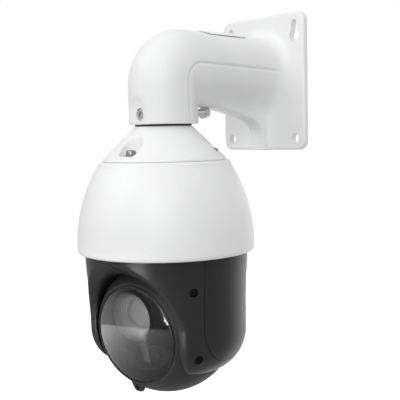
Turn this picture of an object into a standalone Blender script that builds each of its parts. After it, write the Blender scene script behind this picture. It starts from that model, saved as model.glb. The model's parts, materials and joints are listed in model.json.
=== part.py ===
"""Pan-tilt-zoom dome camera on a cast wall bracket, as separate solids with real joints.

The wall is the plane y = 0 and the bracket reaches out along -Y. The origin is on the back
of the wall plate, midway between the two lower screw holes. Inside the camera, heights are
counted from the white dome's bottom rim, on the pan axis.
"""

import bmesh
import bpy
from math import asin, atan2, cos, pi, radians, sin, sqrt
from mathutils import Matrix

MM = 0.001
GAP = 0.3                       # clearance between touching pieces

# driving dimensions, in millimetres
PLATE_W, PLATE_T, PLATE_CORNER = 114.0, 7.0, 10.0
PLATE_LOW, PLATE_HIGH = -11.4, 125.0
HOLE_X, LOW_HOLE_R = 44.6, 5.0
KEY_Z, KEY_BIG_R, KEY_SMALL_R, KEY_RISE = 101.8, 6.2, 4.2, 11.0
REACH = 139.1                   # wall to pan axis
ARM_Z, ARM_HALF_W, ARM_HALF_H = 70.1, 31.3, 33.6
LEG_R, LEG_FLAT, LEG_LOW = 31.7, 29.4, 15.8
ELBOW_R, ARM_WALL = 20.0, 6.0
WEB_HALF = 9.0
NECK_R, NECK_BORE_R = 23.7, 18.0
RIM_Z = -100.4                  # height of the dome's bottom rim
DOME_R, DOME_HALF_H, DOME_WIDEST = 82.25, 111.0, 5.4
LEDGE_Z, LEDGE_R, CONE_TOP_Z, CONE_TOP_R = 83.2, 57.3, 113.3, 27.6
WALL = 3.0
SCREW_CIRCLE = 45.8             # radius of the cone cover's three screws
POCKET_R, POCKET_FLOOR = 10.4, 88.0   # the wells that those screws stand in
SET_SCREW_X, SET_SCREW_Z, SET_SCREW_R, BOLT_Z = 3.0, 24.9, 5.1, 26.6   # on the leg's collar
REST_PAN, REST_TILT = radians(10.57), radians(4.26)
TILT_Z = -68.4
BALL_R, BALL_SIDE, FACE_D = 65.0, 50.0, 45.9
CAVITY_R, CAVITY_SIDE = 66.6, 51.3
EAR_R, EAR_FRONT, EAR_FLOOR = 73.4, 46.5, -62.5
LENS_UP, LENS_ACROSS, LENS_R = 16.6, -3.0, 24.8
PAN_TEETH, PAN_PINION_TEETH, TOOTH = 48, 8, 1.5
TILT_PULLEY_R, TILT_DRIVE_R = 20.0, 8.0
DRIVE_Z = 22.0                  # height of the tilt motor's shaft


CASTINGS = ("wall_bracket", "cone_cover", "turret_casing", "void", "ball_shell", "tilt_pulley")


# ---------------------------------------------------------------- materials
def material(name, colour, roughness, metallic=0.0):
    made = bpy.data.materials.new(name)
    made.use_nodes = True
    shader = made.node_tree.nodes["Principled BSDF"]
    shader.inputs["Base Color"].default_value = (*colour, 1.0)
    shader.inputs["Roughness"].default_value = roughness
    shader.inputs["Metallic"].default_value = metallic
    return made


# ---------------------------------------------------------------- building blocks
def placed(name, bm, finish, parent=None, at=(0, 0, 0), smooth=True):
    """Puts a bmesh, drawn in millimetres, into the scene as an object in metres."""
    bmesh.ops.scale(bm, vec=(MM, MM, MM), verts=bm.verts)
    bmesh.ops.recalc_face_normals(bm, faces=bm.faces)
    mesh = bpy.data.meshes.new(name)
    bm.to_mesh(mesh)
    bm.free()
    if smooth:
        mesh.shade_smooth()
        mesh.set_sharp_from_angle(angle=radians(35))
    if finish:
        mesh.materials.append(finish)
    made = bpy.data.objects.new(name, mesh)
    made.location = [c * MM for c in at]
    made.parent = parent
    bpy.context.scene.collection.objects.link(made)
    return made


def loft(rings, closed=False):
    """Joins rings of equal count with quads, and caps both ends unless the loft closes on itself."""
    bm = bmesh.new()
    rows = [[bm.verts.new(p) for p in ring] for ring in rings]
    count = len(rows[0])
    pairs = list(zip(rows, rows[1:])) + ([(rows[-1], rows[0])] if closed else [])
    for low, high in pairs:
        for i in range(count):
            j = (i + 1) % count
            bm.faces.new((low[i], low[j], high[j], high[i]))
    if not closed:
        bm.faces.new(rows[0][::-1])
        bm.faces.new(rows[-1])
    return bm


def turned(profile, steps=48, turn=None):
    """Spins an outline of (radius, height) points about Z. An end at radius 0 closes there."""
    bm = bmesh.new()
    verts = [bm.verts.new((r, 0, z)) for r, z in profile]
    on_axis = profile[0][0] == 0 and profile[-1][0] == 0
    edges = [bm.edges.new(pair) for pair in zip(verts, verts[1:])]
    if not on_axis:
        edges.append(bm.edges.new((verts[-1], verts[0])))
    bmesh.ops.spin(bm, geom=verts + edges, cent=(0, 0, 0), axis=(0, 0, 1),
                   angle=2 * pi, steps=steps, use_merge=True)
    bmesh.ops.remove_doubles(bm, verts=bm.verts, dist=1e-5)
    if turn:
        bmesh.ops.transform(bm, matrix=turn, verts=bm.verts)
    return bm


def tube(outer, inner, low, high, steps=32, turn=None):
    """A pipe, or a rod where inner is 0."""
    outline = [(inner, low), (outer, low), (outer, high), (inner, high)]
    return turned(outline, steps, turn)


def prism(outline, low, high, turn=None):
    """An (x, y) outline raised along Z."""
    bm = loft([[(x, y, z) for x, y in outline] for z in (low, high)])
    if turn:
        bmesh.ops.transform(bm, matrix=turn, verts=bm.verts)
    return bm


def block(low, high):
    """A box between two corners."""
    (x0, y0, z0), (x1, y1, z1) = low, high
    return prism([(x0, y0), (x1, y0), (x1, y1), (x0, y1)], z0, z1)


def arc(cx, cy, rx, start, end, steps, ry=None):
    """Points on a circle or an ellipse, angles in degrees."""
    ry = rx if ry is None else ry
    angles = [radians(start + (end - start) * i / steps) for i in range(steps + 1)]
    return [(cx + rx * cos(a), cy + ry * sin(a)) for a in angles]


def rounded(x0, y0, x1, y1, r, steps=5):
    """A rectangle with round corners."""
    return (arc(x1 - r, y1 - r, r, 0, 90, steps) + arc(x0 + r, y1 - r, r, 90, 180, steps)
            + arc(x0 + r, y0 + r, r, 180, 270, steps) + arc(x1 - r, y0 + r, r, 270, 360, steps))


def boolean(target, tool, operation="DIFFERENCE"):
    """Cuts, joins or keeps a target with a helper, which stays in the file as a wire.

    The exact solver leaves slivers where many faces nearly meet, on the castings, so those take
    the manifold one.
    """
    tool.hide_render = True
    tool.display_type = "WIRE"
    step = target.modifiers.new(operation.lower(), "BOOLEAN")
    step.operation = operation
    step.solver = "MANIFOLD" if target.name.startswith(CASTINGS) else "EXACT"
    step.object = tool
    return target


def helper(target, bm, operation="DIFFERENCE", at=(0, 0, 0)):
    """Makes a helper beside its target, and applies it."""
    name = f"tool_{target.name}_{len(target.modifiers)}"
    return boolean(target, placed(name, bm, None, target.parent, at, smooth=False), operation)


def empty(name, at, turn=(0, 0, 0), parent=None):
    made = bpy.data.objects.new(name, None)
    made.location = [c * MM for c in at]
    made.rotation_euler = turn
    made.parent = parent
    made.empty_display_size = 0.02
    bpy.context.scene.collection.objects.link(made)
    return made


ALONG_X = Matrix.Rotation(pi / 2, 4, "Y")        # turns +Z to +X
ALONG_Y = Matrix.Rotation(-pi / 2, 4, "X")       # turns +Z to +Y
FACING = Matrix.Rotation(pi / 2, 4, "X")         # turns +Z to -Y, and +Y to +Z


def moved(x, y, z, turn=Matrix.Identity(4)):
    return Matrix.Translation((x, y, z)) @ turn


def on_sphere(radius, height):
    return sqrt(max(radius * radius - height * height, 0.0))


# ---------------------------------------------------------------- wall bracket
def arm_path(extra=0.0):
    """Centres and section axes from the collar's mouth, up the leg, round the elbow, to the wall."""
    stations = [((0, -REACH, z), 0.0) for z in (LEG_LOW - extra, LEG_LOW + 18)]
    turn_y, turn_z = -REACH + ELBOW_R, ARM_Z - ELBOW_R
    for i in range(7):
        a = pi / 2 * i / 6
        stations.append(((0, turn_y - ELBOW_R * cos(a), turn_z + ELBOW_R * sin(a)), a))
    stations.append(((0, -40, ARM_Z), pi / 2))
    stations.append(((0, extra - PLATE_T + 1.0, ARM_Z), pi / 2))
    return stations


def arm_rings(inset, extra=0.0, steps=32):
    """Sections across the arm: round in the leg, and a little taller than wide along the arm."""
    rings = []
    for (x, y, z), lean in arm_path(extra):
        share = sin(lean)
        half_w = LEG_R + (ARM_HALF_W - LEG_R) * share - inset
        half_h = LEG_R + (ARM_HALF_H - LEG_R) * share - inset
        ring = []
        for k in range(steps):
            a = 2 * pi * k / steps
            across, up = half_w * cos(a), half_h * sin(a)
            ring.append((x + across, y + up * -cos(lean), z + up * sin(lean)))
        rings.append(ring)
    return rings


def wall_bracket(finish):
    plate = prism(rounded(-PLATE_W / 2, PLATE_LOW, PLATE_W / 2, PLATE_HIGH, PLATE_CORNER), 0,
                  PLATE_T, FACING)
    bracket = placed("wall_bracket", plate, finish)
    helper(bracket, loft(arm_rings(0.0)), "UNION")
    root_r = 7.0
    flare = [[(x, -PLATE_T + 0.5 - d, ARM_Z + z) for x, z in
              arc(0, 0, ARM_HALF_W + g, 0, 348.75, 31, ARM_HALF_H + g)]
             for d, g in ((-1, root_r), (0.5, root_r), (2.2, 3.5), (root_r, 0.4), (root_r + 3, -0.8))]
    helper(bracket, loft(flare), "UNION")
    outline = [(-REACH + 20, 60), (-PLATE_T + 1, 60), (-PLATE_T + 1, PLATE_LOW + 0.4),
               (-13.9, PLATE_LOW + 0.4)]
    outline += [(-17.2, 7.1), (-20.9, 11.8), (-26.0, 15.9), (-35.6, 21.3), (-REACH + 29, 40.8),
                (-REACH + 20, 44)]
    web = prism(outline, -WEB_HALF, WEB_HALF, Matrix(((0, 0, 1, 0), (1, 0, 0, 0), (0, 1, 0, 0),
                                                      (0, 0, 0, 1))))
    helper(bracket, web, "UNION")
    helper(bracket, block((-12, -REACH + 20, LEG_LOW), (12, -REACH + 33, 38)), "UNION")
    helper(bracket, block((-40, -REACH - 60, LEG_LOW - 5), (40, -REACH - LEG_FLAT, 42)))
    helper(bracket, loft(arm_rings(ARM_WALL + 2.0, extra=8.5, steps=20)))
    helper(bracket, tube(NECK_R + GAP, 0, LEG_LOW - 5, LEG_LOW + 26, 40), at=(0, -REACH, 0))
    for side in (-1, 1):
        for z, r in ((0, LOW_HOLE_R), (KEY_Z, KEY_BIG_R), (KEY_Z + KEY_RISE, KEY_SMALL_R)):
            helper(bracket, tube(r, 0, -5, PLATE_T + 5, 20, moved(side * HOLE_X, 0, z, FACING)))
        slot = block((side * HOLE_X - KEY_SMALL_R, -PLATE_T - 5, KEY_Z),
                     (side * HOLE_X + KEY_SMALL_R, 5, KEY_Z + KEY_RISE))
        helper(bracket, slot)
    helper(bracket, tube(SET_SCREW_R + GAP, 0, 10, 40, 20, set_screw_axis()))
    helper(bracket, tube(3.9, 0, 10, 40, 20, bolt_axis()))
    recess = placed("tool_cover_recess", prism(rounded(-20.3, -107.3, 20.3, -42.7, 8.3), ARM_Z + 20,
                                               ARM_Z + ARM_HALF_H + 5), None)
    boolean(recess, placed("tool_cover_floor", arm_bar(3.2, -120, -30), None))
    boolean(bracket, recess)
    window = prism(rounded(-14, -100, 14, -50, 5), ARM_Z + 15, ARM_Z + ARM_HALF_H + 5)
    helper(bracket, window)
    return bracket


def arm_bar(inset, start, stop):
    """A straight length of the arm's section, a little smaller."""
    return loft([[(x, y, ARM_Z + z) for x, z in
                  arc(0, 0, ARM_HALF_W - inset, 0, 348.75, 31, ARM_HALF_H - inset)]
                 for y in (start, stop)])


def top_cover(finish):
    """The access lid on top of the arm. It follows the arm's crown."""
    made = placed("arm_top_cover", prism(rounded(-20, -107, 20, -43, 8), ARM_Z + 20,
                                         ARM_Z + ARM_HALF_H + 5), finish)
    helper(made, arm_bar(0.4, -112, -38), "INTERSECT")
    return helper(made, arm_bar(2.9, -120, -30))


def set_screw_axis():
    return moved(SET_SCREW_X, -REACH, SET_SCREW_Z, FACING)


def bolt_axis():
    return moved(0, -REACH, BOLT_Z, ALONG_Y)


def collar_screws(steel):
    """The set screw in front of the collar, and the long hexagon bolt behind it."""
    grub = tube(SET_SCREW_R, 0, NECK_R + 0.7, LEG_FLAT - 0.6, 20, set_screw_axis())
    screw = placed("collar_set_screw", grub, steel)
    helper(screw, prism(arc(0, 0, 2.3, 0, 300, 5), LEG_FLAT - 2.8, LEG_FLAT + 2, set_screw_axis()))
    bolt = placed("collar_bolt", tube(3.5, 0, NECK_R + 0.7, 50.0, 20, bolt_axis()), steel)
    helper(bolt, prism(arc(0, 0, 6.0, 0, 300, 5), 48.2, 54.6, bolt_axis()), "UNION")
    helper(bolt, tube(5.6, 0, 33.3, 35.0, 20, bolt_axis()), "UNION")


# ---------------------------------------------------------------- fixed camera housing
def dome_radius(z, inset=0.0):
    share = min(abs(z - DOME_WIDEST) / (DOME_HALF_H - inset), 1.0)
    return (DOME_R - inset) * sqrt(1 - share * share)


def neck_pipe(finish, parent):
    """The threaded pipe that screws into the collar. Its flange closes the cone cover's mouth."""
    profile = [(NECK_BORE_R, 100.0), (26.0, 100.0), (26.0, 103.0), (22.4, 103.0), (22.4, 118.0)]
    z = 118.0
    while z < 136.0:
        profile += [(NECK_R, z + 1.6), (NECK_R, z + 3.0), (NECK_R - 1.2, z + 4.6)]
        z += 4.6
    profile += [(NECK_R - 1.4, z + 1.0), (NECK_BORE_R, z + 1.0)]
    return placed("threaded_neck", turned(profile, 24), finish, parent)


def neck_seal(finish, parent):
    ring = [(22.7, CONE_TOP_Z + GAP), (26.6, CONE_TOP_Z + GAP), (26.6, 115.9), (22.7, 115.9)]
    return placed("neck_seal", turned(ring, 28), finish, parent)


def cone_pockets():
    """Angles about the pan axis, from +X, of the three pockets in the cone cover."""
    return [radians(a) for a in (-41.6 + 83.0 - 120.0 * k for k in range(3))]


def cone_cover(finish, parent):
    profile = [(22.7, CONE_TOP_Z), (CONE_TOP_R - 1, CONE_TOP_Z), (CONE_TOP_R, CONE_TOP_Z - 1),
               (54.0, 88.2), (55.4, 86.8), (LEDGE_R, LEDGE_Z + 0.8), (LEDGE_R, LEDGE_Z),
               (53.0, LEDGE_Z), (52.4, 84.4), (51.0, 86.0), (24.5, CONE_TOP_Z - 2.6),
               (22.7, CONE_TOP_Z - 2.6)]
    cover = placed("cone_cover", turned(profile, 36), finish, parent)
    for a in cone_pockets():
        at = (SCREW_CIRCLE * cos(a), SCREW_CIRCLE * sin(a), 0)
        boss = tube(POCKET_R + 1.6, 0, LEDGE_Z + 1.6, 108.0, 20, moved(*at))
        inside = placed("boss_limit", turned([(0, LEDGE_Z), (53, LEDGE_Z), (52.8, 88.4), (25.4,
                        CONE_TOP_Z - 1.6), (0, CONE_TOP_Z - 1.6)], 36), None, parent)
        lump = placed("boss_tool", boss, None, parent)
        boolean(lump, inside, "INTERSECT")
        boolean(cover, lump, "UNION")
        helper(cover, tube(POCKET_R, 0, POCKET_FLOOR, 114.0, 24), at=at)
        helper(cover, tube(2.4, 0, LEDGE_Z, 92, 10), at=at)
    return cover


def cone_screw(index, angle, steel, parent):
    at = (SCREW_CIRCLE * cos(angle), SCREW_CIRCLE * sin(angle), 0)
    seat = POCKET_FLOOR + GAP
    profile = [(0, LEDGE_Z - 6.0), (2.0, LEDGE_Z - 6.0), (2.0, seat), (4.2, seat),
               (4.2, seat + 4.4), (3.4, seat + 5.2), (0, seat + 5.4)]
    screw = placed(f"cone_screw_{index}", turned(profile, 12), steel, parent, at)
    for turn in (0, pi / 2):
        cross = prism([(-2.4, -0.5), (2.4, -0.5), (2.4, 0.5), (-2.4, 0.5)], seat + 3.8,
                      seat + 8, Matrix.Rotation(turn, 4, "Z"))
        helper(screw, cross, at=at)
    return screw


def dome_shell(finish, parent):
    outer = [(80.7, 0.0), (82.0, 2.2)]
    outer += [(dome_radius(z), z) for z in (5.4, 24, 42, 58, 70, 77)]
    outer += [(61.2, 81.4), (60.4, 82.9), (50.5, 82.9)]
    inner = [(50.5, 79.6)] + [(dome_radius(z, WALL), z) for z in (74, 56, 32, 3)]
    inner += [(77.6, 0.0)]
    return placed("dome_shell", turned(outer + inner, 36), finish, parent)


def roof_plate(finish, parent):
    """The metal plate under the cone cover that hangs everything inside from the neck."""
    plate = placed("roof_plate", tube(50.1, NECK_BORE_R, 79.8, 82.6, 32), finish, parent)
    for a in cone_pockets():
        at = (SCREW_CIRCLE * cos(a), SCREW_CIRCLE * sin(a), 0)
        helper(plate, tube(2.3, 0, 70, 84, 10), at=at)
    return plate


# ---------------------------------------------------------------- pan drive and inner parts
def gear_outline(teeth, phase=0.0, module=TOOTH):
    """Straight-flanked teeth about the pitch circle, a little slack so that a pair can mesh."""
    pitch = teeth * module / 2
    points = []
    for k in range(teeth):
        middle = 2 * pi * (k + phase) / teeth
        for turn, r in ((-0.30, pitch - 1.25 * module), (-0.115, pitch + 0.9 * module),
                        (0.115, pitch + 0.9 * module), (0.30, pitch - 1.25 * module)):
            a = middle + 2 * pi * turn / teeth
            points.append((r * cos(a), r * sin(a)))
    return points


def pan_drive(brass, plastic, alloy, steel, dark, housing, turret, pinion_body):
    """A spur gear on the turret's hollow hub, and the motor whose pinion turns it."""
    low, high = 40.0, 45.0
    mesh_phase = (pi / 2 - REST_PAN) * PAN_TEETH / (2 * pi) % 1 - 0.5
    wheel = placed("pan_gear", prism(gear_outline(PAN_TEETH, mesh_phase), low, high), plastic, turret)
    helper(wheel, tube(13.2, 0, low - 2, high + 2, 32))
    hub = [(8.0, 4.6), (30.0, 4.6), (30.0, 6.8), (16.0, 6.8), (16.0, low - GAP),
           (12.9, low - GAP), (12.9, 60.0), (8.0, 60.0)]
    placed("pan_hub", turned(hub, 24), alloy, turret)
    bearing = [(13.2, 62.0 - 9), (22.0, 62.0 - 9), (22.0, 62.0 - 2.6), (13.2, 62.0 - 2.6)]
    placed("pan_bearing", turned(bearing, 24), steel, housing)
    chassis = [(22.3, 50.0), (58.0, 50.0), (58.0, 53.0), (25.0, 53.0), (25.0, 61.0), (22.3, 61.0)]
    frame = placed("base_chassis", turned(chassis, 32), alloy, housing)
    for angle in (60, 145, 300):
        a = radians(angle)
        helper(frame, tube(3.5, 0, 52.0, 79.5, 8, moved(43 * cos(a), 43 * sin(a), 0)), "UNION")
    reach = (PAN_TEETH + PAN_PINION_TEETH) * TOOTH / 2 + 0.1
    shaft_hole = tube(5.0, 0, 45, 57, 16, moved(0, reach, 0))
    helper(frame, shaft_hole)
    pinion = placed("pan_pinion", prism(gear_outline(PAN_PINION_TEETH, 0.0), low, high), brass,
                    pinion_body)
    shaft = tube(1.5, 0, high - 1, 53.0, 12)
    helper(pinion, shaft, "UNION")
    motor = placed("pan_motor", tube(9.5, 0, 53.3, 72.0, 24, moved(0, reach, 0)), dark, housing)
    helper(motor, tube(1.6, 0, 50, 60, 12, moved(0, reach, 0)))


def slip_ring(dark, brass, housing, turret):
    placed("slip_ring_rotor", turned([(0, 30.0), (5.5, 30.0), (5.5, 66.0), (0, 66.0)], 20), brass,
           turret)
    stator = [(0, 66.4), (5.8, 66.4), (5.8, 62.4), (11.0, 62.4), (11.0, 76.0), (0, 76.0)]
    placed("slip_ring_stator", turned(stator, 20), dark, housing)


def fan_and_board(green, dark, housing, fan_body):
    board = prism(rounded(-30, -50, 12, -26, 2), 56.0, 57.6)
    placed("main_board", board, green, housing, smooth=False)
    ring = placed("fan_frame", prism(rounded(-13, -13, 13, 13, 2), 60.5, 67.5), dark, housing,
                  (-39.5, 0, 0))
    helper(ring, tube(11.8, 0, 58, 70, 24), at=(-39.5, 0, 0))
    helper(ring, block((-13, -1.2, 61), (13, 1.2, 62.2)), "UNION", at=(-39.5, 0, 0))
    helper(ring, tube(4.0, 0, 61.0, 62.2, 16), "UNION", at=(-39.5, 0, 0))
    rotor = placed("fan_rotor", tube(4.2, 0, 62.6, 67.0, 20), dark, fan_body)
    for k in range(7):
        blade = prism([(3.5, -0.5), (11.2, -1.6), (11.2, 1.2), (3.5, 0.5)], 63.0, 66.6,
                      Matrix.Rotation(2 * pi * k / 7, 4, "Z"))
        helper(rotor, blade, "UNION")


# ---------------------------------------------------------------- turret
def turret_outline(inset=0.0):
    """Outer (radius, height) profile of the turret, from its top edge down round the ears' foot."""
    points = [(75.6, 6.0), (75.4, -10.0), (74.2, -25.0), (73.6, -45.0), (73.3, -74.0)]
    points += arc(73.3 - 34.0, -74.0, 34.0, -14, -84, 5, 36.5)
    return [(r - inset, z + (inset if z < -100 else 0)) for r, z in points]


def side_view(front, low, floor):
    """Ear outline seen along the tilt axis: straight edges that end in a round foot."""
    return arc(0, floor, front, 180, 360, 12, low)


def ear_prism(half, top, floor, low, start, stop):
    """The ear's outline as a solid along X, from start to stop."""
    outline = [(half, top), (-half, top)] + side_view(half, low, floor)
    return prism(outline, start, stop, Matrix(((0, 0, 1, 0), (1, 0, 0, 0), (0, 1, 0, 0),
                                               (0, 0, 0, 1))))


def arch_cutter(rear=False):
    """The open front as seen along the tilt axis: all that lies ahead of the ears' front edges."""
    foot = arc(0, EAR_FLOOR, EAR_FRONT, 270, 360, 10, 46.0)
    rise = [(EAR_FRONT, -54.0), (48.0, -46.0), (51.7, -37.6), (56.4, -29.0), (61.2, -21.7),
            (66.3, -13.4), (70.6, -7.6), (76.0, -4.8), (90, -4.6)]
    if rear:
        rise = [(EAR_FRONT, -58.0), (49.0, -49.0), (55.0, -43.5), (64.0, -41.0), (90, -40.0)]
    outline = [(0, -125.0)] + foot + rise + [(90, -125.0)]
    sign = 1 if rear else -1
    outline = [(sign * y, z) for y, z in outline]
    return prism(outline, -90, 90, Matrix(((0, 0, 1, 0), (1, 0, 0, 0), (0, 1, 0, 0), (0, 0, 0, 1))))


def cavity():
    """Where the ball turns: a ball with flat sides, open below."""
    sphere = turned([(on_sphere(CAVITY_R, z), z + TILT_Z) for z in
                     [CAVITY_R * cos(pi * k / 16) for k in range(17)]], 32)
    return sphere


def shoulder_void(name, turret):
    """The space inside the crown's shoulder, which leaves a skin above the ball and the arches."""
    top, low = -2.4, -34.0
    outline = [(0, top), (71.6, top), (70.8, -25.0), (70.2, low), (0, low)]
    void = placed(f"void_{name}", turned(outline, 44), None, turret, smooth=False)
    skin = placed(f"skin_{name}", ball_blank(CAVITY_R + WALL, 32, 16), None, turret,
                  (0, 0, TILT_Z), smooth=False)
    half = CAVITY_SIDE + WALL
    helper(skin, block((-half, -90, -90), (half, 90, 90)), "INTERSECT", at=(0, 0, TILT_Z))
    boolean(void, skin)
    helper(void, throat(WALL))
    for rear in (False, True):
        helper(void, arch_cutter(rear), at=(0, -2.0 if rear else 2.0, WALL))
    return void


def throat(extra=0.0):
    """The round way in through the front arch, as wide as the ears are apart."""
    r = 47.5 + extra
    return prism(arc(0, EAR_FLOOR, r, 0, 180, 24) + [(-r, -130), (r, -130)], 0, 80, FACING)


def turret_half(name, side, finish, turret):
    """One half of the turret's casing: half of the crown, and one ear with a hollow for its drive."""
    inner = [(72.6, 6.0), (72.4, 1.0), (0, 1.0)]
    body = turned([(0, -110.3)] + turret_outline()[::-1] + inner, 44)
    half = placed(name, body, finish, turret)
    far = -side * 100
    helper(half, block((min(side * 0.15, far), -100, -140), (max(side * 0.15, far), 100, 40)))
    sphere = placed(f"tool_{name}_cavity", cavity(), None, turret, smooth=False)
    helper(sphere, block((-CAVITY_SIDE, -90, -150), (CAVITY_SIDE, 90, 20)), "INTERSECT")
    boolean(half, sphere)
    helper(half, block((-CAVITY_SIDE + 4, -44, -140), (CAVITY_SIDE - 4, 44, TILT_Z)))
    helper(half, arch_cutter())
    helper(half, arch_cutter(rear=True))
    helper(half, throat())
    boolean(half, shoulder_void(name, turret))
    start, stop = sorted((side * 54.0, side * 90.0))
    helper(half, ear_prism(30.6, 8.0, -62.0, 33.0, start, stop))
    helper(half, tube(9.3, 0, 40, 60, 24, moved(0, 0, TILT_Z, ALONG_X if side > 0 else
                                               Matrix.Rotation(-pi / 2, 4, "Y"))))
    for y, z, surface in screw_places():
        helper(half, radial_rod(side, y, z, 2.1, surface - 9, 90))
        helper(half, radial_rod(side, y, z, 3.9, surface - 3.5, 90))
    return half


def screw_places():
    """Each casing screw of one ear: across, height, and the casing's radius there."""
    return ((-39.1, -28.0, 74.1), (-35.0, -88.0, 70.7), (39.1, -55.0, 73.5), (35.0, -88.0, 70.7))


def radial_rod(side, y, z, r, near, far, steps=8):
    """A rod square to the casing's surface, through the pan axis."""
    lean = atan2(y, side * sqrt(EAR_R ** 2 - y ** 2))
    return tube(r, 0, near, far, steps, Matrix.Rotation(lean, 4, "Z") @ moved(0, 0, z, ALONG_X))


def casing_screws(side, word, steel, turret):
    for number, (y, z, surface) in enumerate(screw_places(), 1):
        screw = placed(f"casing_screw_{word}_{number}",
                       radial_rod(side, y, z, 3.6, surface - 3.2, surface - 1.4), steel, turret)
        helper(screw, radial_rod(side, y, z, 1.8, surface - 7.2, surface - 3.0, 6), "UNION")


def side_cover(name, side, finish, turret):
    """The U-shaped lid over an ear's hollow. It continues the casing's surface."""
    ring = turned(turret_outline() + turret_outline(2.6)[::-1], 44)
    cover = placed(name, ring, finish, turret)
    start, stop = sorted((side * 54.3, side * 90.0))
    return helper(cover, ear_prism(30.3, 5.7, -62.0, 32.7, start, stop), "INTERSECT")


def turret_platform(alloy, turret):
    """The metal deck on the crown that carries the hub and the tilt motor."""
    deck = placed("turret_platform", tube(70.0, 8.0, 1.3, 4.3, 32), alloy, turret)
    for side in (-1, 1):
        low, high = sorted((side * 53.6, side * 75))
        helper(deck, block((low, -31, 0), (high, 31, 6)))
    return deck


def tilt_drive(alloy, dark, steel, plastic, brass, rubber, turret, ball, drive_body):
    """A motor on the deck turns the ball through a toothed belt in the right ear."""
    belt_low, belt_high = 55.2, 61.2
    motor = placed("tilt_motor", tube(11.0, 0, 22.0, 50.2, 24, moved(0, 0, DRIVE_Z, ALONG_X)), dark,
                   turret)
    helper(motor, tube(1.8, 0, 45, 55, 10, moved(0, 0, DRIVE_Z, ALONG_X)))
    plate = placed("tilt_motor_bracket", block((50.5, -13, 4.6), (52.1, 13, 34)), alloy, turret,
                   smooth=False)
    helper(plate, block((38, -13, 4.6), (51, 13, 6.2)), "UNION")
    helper(plate, tube(3.0, 0, 45, 60, 12, moved(0, 0, DRIVE_Z, ALONG_X)))
    small = placed("tilt_drive_pulley", tube(TILT_DRIVE_R, 0, belt_low, belt_high, 24, ALONG_X),
                   brass, drive_body)
    helper(small, tube(1.5, 0, 46, belt_low + 1, 10, ALONG_X), "UNION")
    large = placed("tilt_pulley", tube(TILT_PULLEY_R, 5.3, belt_low, belt_high, 32, ALONG_X),
                   plastic, ball)
    for k in range(5):
        a = 2 * pi * k / 5 + 0.1
        helper(large, tube(3.6, 0, 50, 65, 8, moved(0, 12.5 * cos(a), 12.5 * sin(a), ALONG_X)))
    rise = DRIVE_Z - TILT_Z
    lean = asin((TILT_PULLEY_R - TILT_DRIVE_R) / rise) * 180 / pi

    def loop(extra):
        return (arc(0, 0, TILT_PULLEY_R + extra, 180 - lean, 360 + lean, 20)
                + arc(0, rise, TILT_DRIVE_R + extra, lean, 180 - lean, 10))
    to_side = Matrix(((0, 0, 1, 0), (1, 0, 0, 0), (0, 1, 0, TILT_Z), (0, 0, 0, 1)))
    belt = placed("tilt_belt", prism(loop(1.6), belt_low + 0.5, belt_high - 0.5, to_side), rubber,
                  turret)
    helper(belt, prism(loop(0.3), belt_low - 1, belt_high + 1, to_side))
    for side, word, out in ((1, "right", 62.5), (-1, "left", 56.5)):
        turn = ALONG_X if side > 0 else Matrix.Rotation(-pi / 2, 4, "Y")
        shaft = [(2.6, 43.0), (9.0, 43.0), (9.0, 46.6), (5.0, 46.6), (5.0, out), (2.6, out)]
        placed(f"tilt_shaft_{word}", turned(shaft, 20, turn), steel, ball)
        placed(f"tilt_bearing_{word}", tube(9.0, 5.3, 51.6, 53.8, 24, moved(0, 0, TILT_Z, turn)),
               steel, turret)


# ---------------------------------------------------------------- ball
def ball_blank(radius, steps, rows):
    """A whole ball."""
    profile = [(radius * sin(pi * k / rows), radius * cos(pi * k / rows)) for k in range(rows + 1)]
    profile[0], profile[-1] = (0, radius), (0, -radius)
    return turned(profile, steps)


def ball_shell(name, near, far, finish, ball):
    """A slice of the hollow ball, between two distances ahead of the tilt axis."""
    shell = placed(name, ball_blank(BALL_R, 32, 16), finish, ball)
    helper(shell, block((-BALL_SIDE, -far, -70), (BALL_SIDE, -near, 70)), "INTERSECT")
    core = placed(f"tool_{name}_core", ball_blank(BALL_R - WALL, 20, 10), None, ball)
    helper(core, block((-BALL_SIDE + WALL, -70, -70), (BALL_SIDE - WALL, 70, 70)), "INTERSECT")
    return boolean(shell, core)


def ball_shells(finish, ball):
    front = ball_shell("ball_shell_front", 14.15, FACE_D, finish, ball)
    helper(front, tube(44.1, 0, 43.5, 60, 32, FACING))
    rear = ball_shell("ball_shell_rear", -70, 13.85, finish, ball)
    helper(rear, tube(5.3, 0, -60, 60, 20, ALONG_X))


def face(black, glass, ball):
    bezel = [(42.0, 43.8), (43.8, 43.8), (43.8, 46.2), (44.9, 46.2), (44.9, 46.9), (43.7, 47.5),
             (42.9, 47.5), (42.9, 45.2), (42.0, 45.2)]
    ring = placed("face_bezel", turned(bezel, 32, FACING), black, ball)
    lug = prism([(-8, -43.9), (-4.5, -51.5), (4.5, -51.5), (8, -43.9)], 46.2, 47.2, FACING)
    helper(ring, lug, "UNION")
    helper(ring, tube(1.8, 0, 40, 50, 12, moved(0, 0, -48.6, FACING)))
    placed("face_window", tube(42.6, 0, 45.5, 47.6, 32, FACING), glass, ball)


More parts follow.
